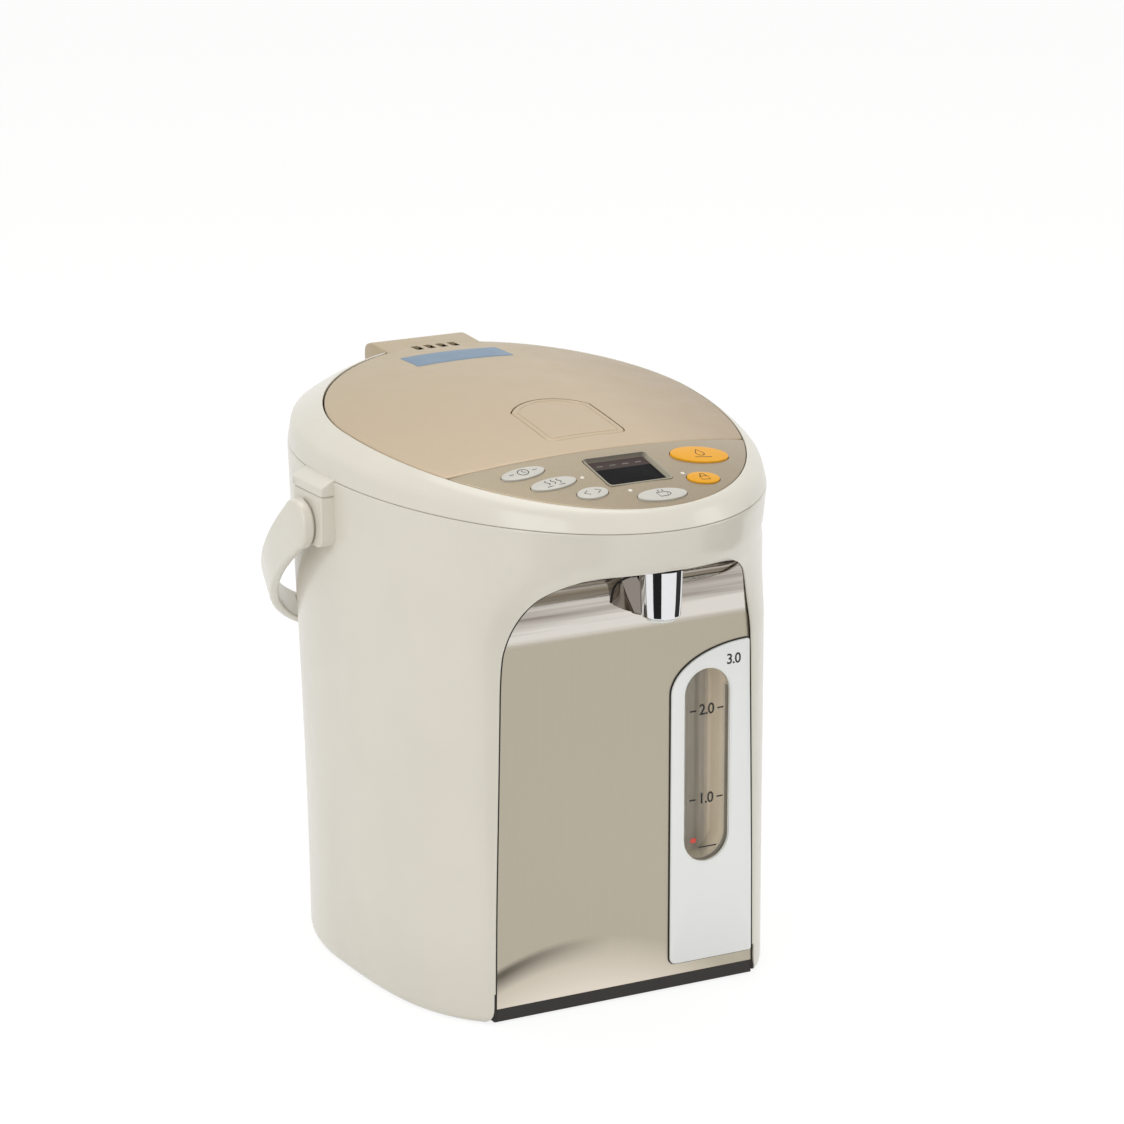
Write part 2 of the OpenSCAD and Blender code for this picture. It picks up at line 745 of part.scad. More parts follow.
module power_board() color("#3f7a4e")
  union() {
    translate([-46, 44, 12]) cube([92, 52, 1.6]);
    translate([-38, 52, 13.4]) cube([26, 22, 18]);
    for (i = [0:2]) translate([4 + 14 * i, 60, 13.4]) cylinder(h = 16, r = 5);
    translate([-2, 80, 13.4]) cube([34, 10, 10]);
    for (sx = [-1, 1], sy = [48, 92]) translate([sx * 42, sy, 4.8]) cylinder(h = 7.4, r = 2.6);
  }

// Magnetic mains inlet, sunk in the rear wall
module inlet_socket() color("#1f1f20")
  difference() {
    union() {
      translate([0, 123.6, 42]) cube([40, 16.6, 24], center = true);
      translate([0, 118, 42]) cube([46, 5, 30], center = true);
    }
    translate([0, 125, 42]) rotate([-90, 0, 0]) linear_extrude(10) round_rect(31, 15, 3);
    for (s = [-1, 1]) translate([s * 9, 110, 42]) rotate([-90, 0, 0]) cylinder(h = 20, r = 1.74);
  }

module inlet_pins() color("#c9b37a")
  for (s = [-1, 1]) translate([s * 9, 112, 42]) rotate([-90, 0, 0]) {
    cylinder(h = 17, r = 1.7);
    translate([0, 0, 15.9]) cylinder(h = 2.4, r = 2.6);
    translate([-2.5, -0.5, -7]) cube([5, 1, 8]);
  }

// ---------- handle ----------

// Outline of the handle's boss in the Y-Z plane
module boss_shape() {
  union() {
    translate([9, 240]) square([30, 26], center = true);
    translate([9, 234.4]) round_rect(30, 31, 6);
  }
}

module handle_bosses() color(ivory)
  difference() {
    intersection() {
      along_x(2 * boss_x) boss_shape();
      translate([-200, -60, 200]) cube([400, 120, boss_split - 200]);
    }
    body_column(-0.15);
    rod_x(-130, 130, pivot_y, pivot_z, pin_r + 0.02);
  }

// Caps on the bosses, sloping up to the shoulder
module boss_caps() color(ivory)
  difference() {
    intersection() {
      rotate([90, 0, 0]) translate([0, 0, -25]) linear_extrude(32)
        polygon([[-boss_x - 0.4, 245], [boss_x + 0.4, 245], [boss_x + 0.4, 248.4],
                 [boss_x - 0.4, 249.6], [108, 253.6], [-108, 253.6], [-boss_x + 0.4, 249.6],
                 [-boss_x - 0.4, 248.4]]);
      translate([-200, -200, 200]) cube([400, 400, 100]);
    }
    body_column(-0.15);
  }

module handle_pins() color("silver")
  for (s = [-1, 1]) {
    rod_x(s > 0 ? 98 : -strap_x - 3, s > 0 ? strap_x + 3 : -98, pivot_y, pivot_z, pin_r);
    rod_x(s > 0 ? 96 : -98.4, s > 0 ? 98.4 : -96, pivot_y, pivot_z, pin_r + 2.4);
  }

// Strap bowed round the rear, drawn level and then hung at its rest angle
module carry_handle() color(ivory)
  translate([0, pivot_y, pivot_z]) rotate([-rest_angle, 0, 0])
    difference() {
      union() {
        intersection() {
          translate([0, 0, -15]) linear_extrude(30) polygon(concat(
            [for (q = [0:5:180]) bow(q, strap_x + strap_t, handle_reach + strap_t)],
            [for (q = [180:-5:0]) bow(q, strap_x, handle_reach)]));
          along_x(300) polygon([[0, -12], [60, -10.6], [120, -8], [170, -8], [170, 8],
                                [120, 8], [60, 9.6], [0, 12]]);
        }
        for (s = [-1, 1])
          rod_x(s > 0 ? boss_x + 0.4 : -strap_x - strap_t,
                s > 0 ? strap_x + strap_t : -boss_x - 0.4, 0, 0, 12.4);
      }
      for (s = [-1, 1])
        rod_x(s > 0 ? 100 : -strap_x - 3.3, s > 0 ? strap_x + 3.3 : -100, 0, 0,
              pin_r + run_gap);
      // hollow underside of the grip with its ribs
      difference() {
        translate([0, 0, -5.2]) linear_extrude(10.4) polygon(concat(
          [for (q = [55:5:125]) bow(q, strap_x + 2.4, handle_reach + 2.4)],
          [for (q = [125:-5:55]) bow(q, strap_x - 3, handle_reach - 3)]));
        for (i = [-3:3]) translate([i * 17 - 0.8, 100, -8]) cube([1.6, 80, 16]);
      }
    }

// ---------- lid ----------

module hinge_bracket() color("#d2cec3")
  difference() {
    union() {
      translate([-33.5, 102, 246.9]) cube([67, 20, 5]);
      for (s = [-1, 1]) translate([s * 30.6 - 2.8, 0, 0]) {
        translate([0, 103, 250]) cube([5.6, 10, hinge_z - 250]);
        rod_x(0, 5.6, hinge_y, hinge_z, 2.9);
      }
    }
    rod_x(-40, 40, hinge_y, hinge_z, hinge_pin_d / 2 + 0.02);
  }

module hinge_pin() color("silver")
  rod_x(-33.3, 33.3, hinge_y, hinge_z, hinge_pin_d / 2);

// Outline of the lever, grown by g
module lever_shape(g) {
  w = lever_w / 2 + g;
  sag = lever_apex - lever_side;
  r = (pow(lever_w / 2, 2) + sag * sag) / (2 * sag) + g;
  union() {
    translate([-w, lever_front - g + 4]) square([2 * w, lever_side - lever_front + g - 4]);
    translate([-w + 4, lever_front - g]) square([2 * w - 8, 8]);
    for (s = [-1, 1]) translate([s * (w - 4), lever_front - g + 4]) circle(r = 4);
    intersection() {
      translate([0, lever_apex + g - r]) circle(r = r, $fn = 96);
      translate([-w, lever_side - eps]) square([2 * w, 40]);
    }
  }
}

module lid_outer() color(champagne)
  difference() {
    union() {
      difference() {
        union() {
          // crowned skin
          intersection() {
            panel_blank(0, 0, skin);
            seam_disc(0, 240, 300);
          }
          // skirt inside the oval
          difference() {
            intersection() {
              lid_core(5.4, 251);
              seam_disc(-5.5, 240, 300);
            }
            intersection() {
              lid_core(7.4, 240);
              seam_disc(-7.7, 230, 300);
            }
          }
          // well of the lever
          intersection() {
            lid_core(10, 250);
            translate([0, 0, well_floor]) linear_extrude(40) lever_shape(lever_gap + 1.6);
          }
          lid_tongue();
        }
        translate([0, 0, well_floor + 1.6]) linear_extrude(40) lever_shape(lever_gap);
      }
      // bearings of the lever
      for (s = [-1, 1]) translate([s * 18 - 1.5, lever_axis_y - 3, well_floor])
        cube([3, 6, lever_axis_z + 3 - well_floor]);
    }
    rod_x(-19.6, 19.6, lever_axis_y, lever_axis_z, 1.52);
    rod_x(-30, 30, hinge_y, hinge_z, hinge_pin_d / 2 + run_gap);
    // steam slots and the chamber under them
    for (i = [-1.5:1:1.5]) translate([i * 6.8, 91.5, 280]) linear_extrude(20)
      round_rect(4.4, 2.6, 1);
    translate([-15.8, 84, 277]) cube([31.6, 11, 7.2]);
    // holes of the latch noses and of the lever's tail
    for (s = [-1, 1]) translate([s * 14 - 4.4, -90, 250]) cube([8.8, 22, 7]);
    translate([-5, -53, 255]) cube([10, 11, 8]);
  }

// Inside of the lid: everything under the skin down to low, drawn in by inset
module lid_core(inset, low) {
  ring_stack([
    flat_ring(oval_ring(-inset), low),
    top_ring(oval_ring(-inset), -skin + 0.6),
    top_ring(shrink(oval_ring(-inset), 0.66), -skin + 0.6),
    top_ring(shrink(oval_ring(-inset), 0.33), -skin + 0.6)]);
}

// Hinge tongue at the rear of the lid
module lid_tongue() {
  along_x(53.4) union() {
    translate([hinge_y, hinge_z]) circle(r = barrel_r);
    polygon([[88, 281], [88, 286.6], [113.6, 287.2], [118.6, 285.6], [119.6, 281.4],
             [116.4, hinge_z - 2], [100, hinge_z - 4], [92, hinge_z - 4]]);
  }
}

module lid_inner() color("#e6e3da")
  difference() {
    union() {
      translate([0, 0, 248]) linear_extrude(2.8) intersection() {
        polygon(oval_ring(-6.6));
        translate([0, seam_arc_y]) circle(r = seam_arc_r - 8, $fn = 360);
      }
      translate([0, vessel_y, 0]) rotate_extrude($fn = 96)
        polygon([[0, 229], [69.6, 229], [71.6, 240.6], [70.6, 241], [70.6, 246], [72, 246.4],
                 [72, 248.4], [67, 248.4], [67, 231.4], [0, 231.4]]);
      // steam passage and the stop of the latch spring
      translate([0, vessel_y + 40, 230]) cylinder(h = 19, r = 6);
      translate([-4, -10.6, 250.4]) cube([8, 2, 8]);
      for (s = [-1, 1]) translate([s * 22 - 1, -66, 250.4]) cube([2, 34, 3.2]);
    }
    translate([0, vessel_y + 40, 220]) cylinder(h = 40, r = 4);
    for (s = [-1, 1]) translate([s * 50, vessel_y, 240]) cylinder(h = 20, r = 2);
    for (p = lid_screws_at) translate([p.x, p.y, 246]) cylinder(h = 10, r = 1.44);
  }

module lid_plate() color("#b9bcbe")
  translate([0, vessel_y, 0]) difference() {
    translate([0, 0, 227.6]) cylinder(h = 1.2, r = 68.4, $fn = 96);
    for (a = [0:60:300]) rotate(a) translate([40, 0, 220]) cylinder(h = 20, r = 2.5);
  }

module lid_gasket() color("#8f8a84")
  translate([0, vessel_y, 0]) rotate_extrude($fn = 96)
    polygon([[70.8, 241.4], [74.4, 241.2], [76.2, 243], [75.8, 243.8], [74, 242.8],
             [72.4, 245.6], [70.8, 245.6]]);

// Duct from the inner lid to the steam slots
module steam_duct() color("#d7d3c8")
  difference() {
    union() {
      translate([-16.5, 48, 250.9]) cube([33, 38, 9]);
      translate([-16.5, 75, 259.4]) cube([33, 11, 20]);
    }
    translate([-15, 49.5, 249]) cube([30, 35, 9.4]);
    translate([-15, 76.5, 258]) cube([30, 8, 40]);
  }

module vent_grille() color("#6b6259")
  difference() {
    translate([-15.6, 88, 282.6]) cube([31.2, 6.8, 1.4]);
    for (i = [-1.5:1:1.5], j = [-0.6, 1.2]) translate([i * 6.8 - 2, 91.2 + j, 280]) cube([4, 0.9, 6]);
  }

lid_screws_at = [[-72, 40], [72, 40], [-60, -50], [60, -50]];

module lid_screws() color("silver")
  for (p = lid_screws_at) translate([p.x, p.y, 0]) {
    translate([0, 0, 246.9]) cylinder(h = 1.1, r = 3);
    translate([0, 0, 247.9]) cylinder(h = 8, r = 1.4);
  }

module lever_pin() color("silver")
  rod_x(-19.4, 19.4, lever_axis_y, lever_axis_z, 1.5);

module lid_lever() color(champagne)
  difference() {
    union() {
      intersection() {
        panel_blank(0, 0, skin);
        translate([0, 0, 240]) linear_extrude(60) lever_shape(0);
      }
      for (s = [-1, 1]) translate([s * 11 - 1.6, 0, 0]) {
        rod_x(0, 3.2, lever_axis_y, lever_axis_z, 3.2);
        translate([0, lever_axis_y - 3, lever_axis_z]) cube([3.2, 6, 10.8]);
      }
      translate([-4, -49, 257.4]) cube([8, 3, 18.4]);
    }
    rod_x(-19.6, 19.6, lever_axis_y, lever_axis_z, 1.5 + run_gap);
  }

// Sliding latch with two noses under the panel edge
module lid_latch() color("#5b5650")
  difference() {
    union() {
      translate([-20, -71, 251]) cube([40, 40, 2.6]);
      for (s = [-1, 1]) translate([s * 14 - 3.6, -78.2, 251]) cube([7.2, 12, 4]);
      translate([-7, -41, 251]) cube([14, 4, 5]);
      translate([-3, -31.2, 251]) cube([6, 2.2, 7]);
    }
    translate([-5, -54.5, 250]) cube([10, 11, 8]);
  }

// Return spring of the latch, a round wire helix along Y
module latch_spring() color("silver")
  helix(2.4, 0.35, 5, [0, -28.6, 255.2], 17.6);

module helix(r, wire, turns, from, run) {
  step = 30;
  sides = 6;
  n = turns * 360 / step;
  points = [for (i = [0:n], j = [0:sides - 1])
    let (q = i * step, w = 360 * j / sides, rr = r + wire * cos(w))
    from + [rr * cos(q), run * i / n + wire * sin(w), rr * sin(q)]];
  polyhedron(points, concat(
    [for (i = [0:n - 1], j = [0:sides - 1])
      let (a = i * sides + j, b = i * sides + (j + 1) % sides,
           c = b + sides, d = a + sides)
      each [[a, b, c], [a, c, d]]],
    [[for (j = [sides - 1:-1:0]) j]],
    [[for (j = [0:sides - 1]) n * sides + j]]));
}

body_shell();
bottom_cover();
feet();
base_screws();
shoulder_ring();
mouth_frame();
control_panel();
panel_tray();
control_board();
tact_switches();
lcd_bezel();
lcd_window();
lcd_module();
led_lenses();
front_frame();
front_plate();
gauge_plate();
gauge_window();
gauge_tube();
spout_cover();
spout_nozzle();
outlet_pipe();
valve_ball();
vessel();
vessel_neck();
vessel_insulation();
vessel_support();
heater();
temperature_sensor();
pump_housing();
pump_impeller();
pump_motor();
motor_rotor();
outlet_hose();
power_board();
inlet_socket();
inlet_pins();
handle_bosses();
boss_caps();
handle_pins();
hinge_bracket();
hinge_pin();
lid_outer();
lid_inner();
lid_plate();
lid_gasket();
steam_duct();
vent_grille();
lid_screws();
lever_pin();
lid_lever();
lid_latch();
latch_spring();
key_timer();
key_reboil();
key_select();
key_keep_warm();
key_lock();
key_dispense();
carry_handle();
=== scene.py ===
"""Finished scene of an electric thermo pot.

The frame gives every body and joint. The classes below rebuild the visible pieces
with smooth surfaces and soft edges, dress every other piece, and light the pot.
"""

import json
import logging
import math
from dataclasses import dataclass, field
from enum import Enum
from typing import Callable, Sequence

import bmesh
import bpy
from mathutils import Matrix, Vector

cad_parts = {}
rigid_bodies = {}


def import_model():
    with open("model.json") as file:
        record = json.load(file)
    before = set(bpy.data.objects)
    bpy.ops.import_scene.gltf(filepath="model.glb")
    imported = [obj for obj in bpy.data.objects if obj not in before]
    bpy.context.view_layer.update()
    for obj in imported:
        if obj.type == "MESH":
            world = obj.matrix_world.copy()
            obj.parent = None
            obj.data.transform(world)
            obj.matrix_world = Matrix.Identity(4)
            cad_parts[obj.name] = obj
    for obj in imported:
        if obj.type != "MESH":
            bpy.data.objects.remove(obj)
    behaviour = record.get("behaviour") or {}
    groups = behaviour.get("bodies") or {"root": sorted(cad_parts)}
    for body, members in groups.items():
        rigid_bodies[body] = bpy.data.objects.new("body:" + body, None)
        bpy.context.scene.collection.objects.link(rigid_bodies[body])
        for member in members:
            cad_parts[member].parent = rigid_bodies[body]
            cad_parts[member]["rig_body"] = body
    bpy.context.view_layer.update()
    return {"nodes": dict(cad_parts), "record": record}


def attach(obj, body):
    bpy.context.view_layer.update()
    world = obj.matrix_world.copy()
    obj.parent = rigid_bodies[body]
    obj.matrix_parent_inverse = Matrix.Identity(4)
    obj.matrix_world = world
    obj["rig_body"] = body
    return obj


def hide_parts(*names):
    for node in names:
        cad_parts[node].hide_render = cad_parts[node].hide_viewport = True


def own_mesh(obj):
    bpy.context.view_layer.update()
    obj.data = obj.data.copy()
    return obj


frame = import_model()

LOG = logging.getLogger("thermo_pot")
MM = 0.001
COLUMNS = 216  # points round the pot's outlines
WELD = 1e-7  # metres between points of an own mesh that are one
MERGE = 2e-6  # the same for a copy of a CAD node
RELIEF = 0.0001  # depth of a bump, in metres

Point = tuple[float, float, float]
Flat = tuple[float, float]
Ring = list[Point]
Place = Callable[[float, float, float], Point]
Colour = tuple[float, float, float]
Levels = Sequence[tuple[float, float, float]]
Obj = bpy.types.Object
Socket = bpy.types.NodeSocket
NodeTree = bpy.types.NodeTree
Material = bpy.types.Material


# ---------- shape rules ----------


def bisect(low: float, high: float, below: Callable[[float], bool]) -> tuple[float, float]:
    """Halves a range until it closes on the place where below turns False.

    Args:
        low: the lower end.
        high: the upper end.
        below: whether a value lies below the place.

    Returns:
        Both ends of what is left of the range.
    """
    for _ in range(40):
        mid = (low + high) / 2
        if below(mid):
            low = mid
        else:
            high = mid
    return low, high


def soft_min(a: float, b: float, soft: float) -> float:
    """The smaller of two values, with a rounded change between them."""
    return min(a, b) - max(soft - abs(a - b), 0) ** 2 / (4 * soft)


def polar(r: float, degrees: float, cx: float = 0.0, cy: float = 0.0) -> Flat:
    """The point at an angle on a circle about (cx, cy)."""
    q = math.radians(degrees)
    return cx + r * math.cos(q), cy + r * math.sin(q)


@dataclass(frozen=True)
class PotForm:
    """The rules of the pot's outer form, in millimetres."""

    crest: float = 288.0
    body_w: float = 216.0
    foot_w: float = 198.4
    head_front: float = 149.5
    shoulder_rear: float = 138.0
    wall: float = 2.6
    fall_r: float = 740.0
    crown_r: float = 435.0
    fall_start: float = 77.0
    oval_half: float = 96.3
    oval_y: float = 4.0
    oval_front: float = 142.8
    oval_rear: float = 93.4
    arc_r: float = 500.0
    arc_y: float = 420.5
    seam_h: float = 247.0
    cove_z: float = 180.0
    cove_r: float = 46.0
    plate_y: float = -101.0
    panel_y: float = -104.0
    seam_mid: float = 252.3
    seam_rise: float = 0.036
    crease_mid: float = 263.2
    crease_rise: float = 0.065
    foot_front: float = 118.1
    foot_fall: float = 1.1
    waist_front: float = 117.0
    head_lean: float = 3.5
    flare_power: float = 2.2
    flare_soft: float = 7.0
    mid_y: float = 9.0
    widen_power: float = 1.67
    rear_lean: float = 7.0
    square_foot: float = 3.22
    square_fall: float = 0.27
    square_waist: float = 2.95
    square_drop: float = 0.95
    foot_taper: float = -2.9
    lid_corner: float = 1.6

    @property
    def lip_z(self) -> float:
        """Height of the head's lower lip."""
        return self.cove_z + self.cove_r + 1.0

    @property
    def cove_y(self) -> float:
        """Place of the cove's axis."""
        return self.plate_y - self.cove_r

    def lid_z(self, x: float, y: float) -> float:
        """Height of the crowned top at (x, y)."""
        fall = max(self.fall_start - y, 0.0)
        return self.crest - fall * fall / (2 * self.fall_r) - x * x / (2 * self.crown_r)

    def seam_z(self, y: float) -> float:
        """Height of the seam under the shoulder."""
        return self.seam_mid + self.seam_rise * y

    def crease_z(self, y: float) -> float:
        """Height of the shoulder's crease."""
        return self.crease_mid + self.crease_rise * y

    @staticmethod
    def egg(q: float, a: float, yc: float, front: float, rear: float,
            n: float = 2.0, taper: float = 0.0) -> Flat:
        """Point of an egg outline.

        Args:
            q: angle in degrees, 0 at +X and 90 at the rear.
            a: half width.
            yc: where the front and rear halves meet.
            front: reach to the front of yc.
            rear: reach to the rear of yc.
            n: squareness of the front half.
            taper: how far the front half draws its sides together.

        Returns:
            The point (x, y).
        """
        c, s = math.cos(math.radians(q)), math.sin(math.radians(q))
        if s >= 0:
            return a * c, yc + rear * s
        dx, dy = abs(c) ** (2 / 3), abs(s) ** (2 / 3)
        k = (dx ** n + dy ** n) ** (-1 / n)
        return math.copysign((a - taper * dy * k) * dx * k, c), yc - front * dy * k

    def egg_ring(self, a: float, yc: float, front: float, rear: float,
                 n: float = 2.0, taper: float = 0.0) -> list[Flat]:
        """A whole egg outline with the usual number of columns."""
        return [self.egg(360 * i / COLUMNS, a, yc, front, rear, n, taper)
                for i in range(COLUMNS)]

    def oval_ring(self, grow: float, back: float = 0.0) -> list[Flat]:
        """The oval of the lid and panel, grown by grow and pulled in at the rear."""
        return self.egg_ring(self.oval_half + grow, self.oval_y, self.oval_front + grow,
                             self.oval_rear + grow - back)

    def front_reach(self, z: float) -> float:
        """How far the body reaches to the front at height z."""
        if z < self.cove_z:
            return self.foot_front - self.foot_fall * z / self.cove_z
        flare = self.waist_front + (self.head_front - self.waist_front - self.head_lean) * (
            (z - self.cove_z) / (self.lip_z - self.cove_z)) ** self.flare_power
        head = self.head_front - self.head_lean * (self.seam_h - z) / (
            self.seam_h - self.lip_z)
        return soft_min(flare, head, self.flare_soft)

    def body_facts(self, z: float, inset: float) -> tuple[float, ...]:
        """The egg's numbers for the body at height z, drawn in by inset.

        Args:
            z: the height.
            inset: how far the outline is drawn in.

        Returns:
            What egg takes after its angle.
        """
        mid = self.mid_y - z / self.seam_h
        half = self.foot_w / 2 + (self.body_w - self.foot_w) / 2 * (
            max(z, 0) / self.seam_h) ** self.widen_power
        rear = self.shoulder_rear - self.rear_lean * (1 - z / self.seam_h)
        if z < self.cove_z:
            square = self.square_foot - self.square_fall * (max(z, 0) / self.cove_z) ** 1.9
        else:
            square = max(2.0, self.square_waist - self.square_drop * (
                (z - self.cove_z) / (self.lip_z - self.cove_z)) ** 1.3)
        taper = self.foot_taper * max(0.0, 1 - z / self.lip_z)
        return (half - inset, mid, self.front_reach(z) + mid - inset,
                rear - mid - inset, square, taper)

    def body_ring(self, z: float, inset: float) -> Ring:
        """The body's outline at height z, tilted near the seam."""
        ring = self.egg_ring(*self.body_facts(z, inset))
        return [(x, y, self.rise(z, y)) for x, y in ring]

    def rise(self, z: float, y: float) -> float:
        """Height of a body row at y, once the tilt of the seam is added."""
        if z <= self.lip_z:
            return z
        return self.lip_z + (z - self.lip_z) * (self.seam_z(y) - self.lip_z) / (
            self.seam_h - self.lip_z)

    def front_y(self, x: float, z: float) -> float:
        """Where the body's front surface is, at x and height z."""
        facts = self.body_facts(z, 0.0)
        ends = bisect(180.0, 360.0, lambda q: self.egg(q, *facts)[0] < x)
        return self.egg(sum(ends) / 2, *facts)[1]

    def cove_at(self, z: float, off: float) -> float:
        """The y of the plate and cove face at height z, moved back by off.

        Args:
            z: the height.
            off: how far the face is moved.

        Returns:
            The y.
        """
        if z <= self.cove_z:
            return self.plate_y + off
        span = max((self.cove_r + off) ** 2 - (z - self.cove_z) ** 2, 0.0)
        return self.cove_y + math.sqrt(span)

    def lid_outline(self, inset: float, gap: float) -> list[Flat]:
        """Outline of the lid: the oval, ended at the front by the seam arc.

        Args:
            inset: how far the outline is drawn in.
            gap: how far the seam arc is drawn in on its own.

        Returns:
            One point for each column, with a soft corner where the two meet.
        """
        points = []
        for x, y in self.oval_ring(-inset):
            dx, dy = x, y - self.oval_y
            reach = math.hypot(dx, dy)
            dx, dy = dx / reach, dy / reach
            oy = self.oval_y - self.arc_y
            b, c = oy * dy, oy * oy - (self.arc_r - inset - gap) ** 2
            near = soft_min(reach, -b + math.sqrt(b * b - c), self.lid_corner)
            points.append((dx * near, self.oval_y + dy * near))
        return points

    def panel_outline(self, inset: float, gap: float) -> list[Flat]:
        """Outline of the control panel, between the seam arc and the oval's front.

        Args:
            inset: how far the outline is drawn in.
            gap: how far the seam arc is drawn in on its own.

        Returns:
            One point for each column.
        """
        centre = Vector((0.0, self.panel_y))
        points = []
        for i in range(COLUMNS):
            q = 2 * math.pi * i / COLUMNS
            d = Vector((math.cos(q), math.sin(q)))
            near = min(self._ray_oval(centre, d, inset), self._ray_arc(centre, d, inset + gap))
            points.append(tuple(centre + d * near))
        return points

    def _ray_oval(self, origin: Vector, d: Vector, inset: float) -> float:
        """Distance from origin along d to the oval's front half.

        Args:
            origin: where the ray starts.
            d: its direction.
            inset: how far the oval is drawn in.

        Returns:
            The distance.
        """
        def inside(t: float) -> bool:
            """Whether the point at t is still in the oval."""
            p = origin + d * t
            reach = self.oval_front if p.y < self.oval_y else self.oval_rear
            return (p.x / (self.oval_half - inset)) ** 2 + (
                (p.y - self.oval_y) / (reach - inset)) ** 2 < 1
        return bisect(0.0, 200.0, inside)[0]

    def _ray_arc(self, origin: Vector, d: Vector, inset: float) -> float:
        """Distance from origin along d to the seam arc, met from the front.

        Args:
            origin: where the ray starts.
            d: its direction.
            inset: how far the arc is drawn in.

        Returns:
            The distance, or a very large one where they never meet.
        """
        rel = origin - Vector((0.0, self.arc_y))
        b = rel.dot(d)
        c = rel.length_squared - (self.arc_r + inset) ** 2
        root = b * b - c
        if root <= 0:
            return 1e6
        near = -b - math.sqrt(root)
        return near if near > 0 else 1e6


FORM = PotForm()


def on_top(x: float, y: float) -> Place:
    """Gives a function that lays (u, v, height) onto the crowned top at (x, y).

    Args:
        x: place across the pot.
        y: place along the pot.

    Returns:
        The function.
    """
    tilt = math.atan((FORM.fall_start - y) / FORM.fall_r)
    roll = math.atan(x / FORM.crown_r)
    base = Vector((x, y, FORM.lid_z(x, y)))

    def place(u: float, v: float, h: float) -> Point:
        """Turns by the tilt about X, then by the roll about Y."""
        p = Vector((u, v * math.cos(tilt) - h * math.sin(tilt),
                    v * math.sin(tilt) + h * math.cos(tilt)))
        p = Vector((p.x * math.cos(roll) + p.z * math.sin(roll), p.y,
                    -p.x * math.sin(roll) + p.z * math.cos(roll)))
        p += base
        return p.x, p.y, p.z

    return place


def over_top(u: float, v: float, h: float) -> Point:
    """Lays (u, v) onto the crowned top, with h above it."""
    return u, v, FORM.lid_z(u, v) + h


def level(u: float, v: float, h: float) -> Point:
    """Outlines lie flat and heights run upwards."""
    return u, v, h


def upright(u: float, v: float, h: float) -> Point:
    """Outlines stand across the pot and heights run to the rear."""
    return u, h, v


def sideways(u: float, v: float, h: float) -> Point:
    """Outlines stand along the pot and heights run to the right."""
    return h, u, v


# ---------- mesh tools ----------


def new_object(name: str, data: bpy.types.ID) -> Obj:
    """Puts a mesh, lamp, camera or curve into the scene under a name."""
    obj = bpy.data.objects.new(name, data)
    bpy.context.scene.collection.objects.link(obj)
    return obj


def welded(mesh: bpy.types.Mesh) -> bpy.types.Mesh:
    """Merges the doubles of a mesh and turns its faces outwards."""
    work = bmesh.new()
    work.from_mesh(mesh)
    bmesh.ops.remove_doubles(work, verts=work.verts, dist=WELD)
    bmesh.ops.recalc_face_normals(work, faces=work.faces)
    work.to_mesh(mesh)
    work.free()
    return mesh


def build(name: str, points: Sequence[Point], faces: Sequence[Sequence[int]]) -> Obj:
    """Makes an object from points in millimetres and faces, turned outwards."""
    mesh = bpy.data.meshes.new(name)
    mesh.from_pydata([(x * MM, y * MM, z * MM) for x, y, z in points], [],
                     [list(f) for f in faces])
    return new_object(name, welded(mesh))


def loft(name: str, rings: Sequence[Ring], band: bool = False) -> Obj:
    """Joins rings of equal length into a closed surface.

    Args:
        name: the object's name.
        rings: the rings in order.
        band: True where the last ring joins the first, else both ends are closed.

    Returns:
        The new object.
    """
    m, n = len(rings), len(rings[0])
    points = [p for ring in rings for p in ring]
    faces = []
    for i in range(m if band else m - 1):
        for j in range(n):
            a, b = i * n + j, i * n + (j + 1) % n
            faces.append((a, b, ((i + 1) % m) * n + (j + 1) % n, ((i + 1) % m) * n + j))
    if not band:
        for start, ring in ((0, rings[0]), ((m - 1) * n, rings[-1])):
            points.append(tuple(sum(p[k] for p in ring) / n for k in range(3)))
            hub = len(points) - 1
            faces += [(start + j, start + (j + 1) % n, hub) for j in range(n)]
    return build(name, points, faces)


def soft_line(points: Sequence[Point], radii: Sequence[float], steps: int = 4,
              closed: bool = False) -> Ring:
    """Rounds the corners of a line with short curves.

    Args:
        points: the corners.
        radii: how far from each corner its curve starts.
        steps: how many pieces a curve has.
        closed: True where the last corner joins the first.

    Returns:
        The points of the rounded line, steps + 1 for each rounded corner.
    """
    out: Ring = []
    count = len(points)
    for i, (p, r) in enumerate(zip(points, radii)):
        if not closed and i in (0, count - 1):
            out.append(tuple(p))
            continue
        here = Vector(p)
        before = Vector(points[i - 1]) - here
        after = Vector(points[(i + 1) % count]) - here
        a = here + before.normalized() * min(r, before.length * 0.49)
        b = here + after.normalized() * min(r, after.length * 0.49)
        for k in range(steps + 1):
            t = k / steps
            out.append(tuple(a * (1 - t) ** 2 + here * 2 * t * (1 - t) + b * t * t))
    return out


def through(points: Sequence[Flat], steps: int) -> list[Flat]:
    """A smooth curve through flat points, with steps pieces between neighbours.

    Args:
        points: the points.
        steps: pieces between neighbours.

    Returns:
        The points of the curve.
    """
    out: list[Flat] = []
    for i in range(len(points) - 1):
        p0, p1 = points[max(i - 1, 0)], points[i]
        p2, p3 = points[i + 1], points[min(i + 2, len(points) - 1)]
        for k in range(steps):
            t = k / steps
            out.append(tuple(0.5 * (2 * b + (c - a) * t + (2 * a - 5 * b + 4 * c - d) * t * t
                                    + (3 * b - a - 3 * c + d) * t ** 3)
                             for a, b, c, d in zip(p0, p1, p2, p3)))
    return out + [points[-1]]


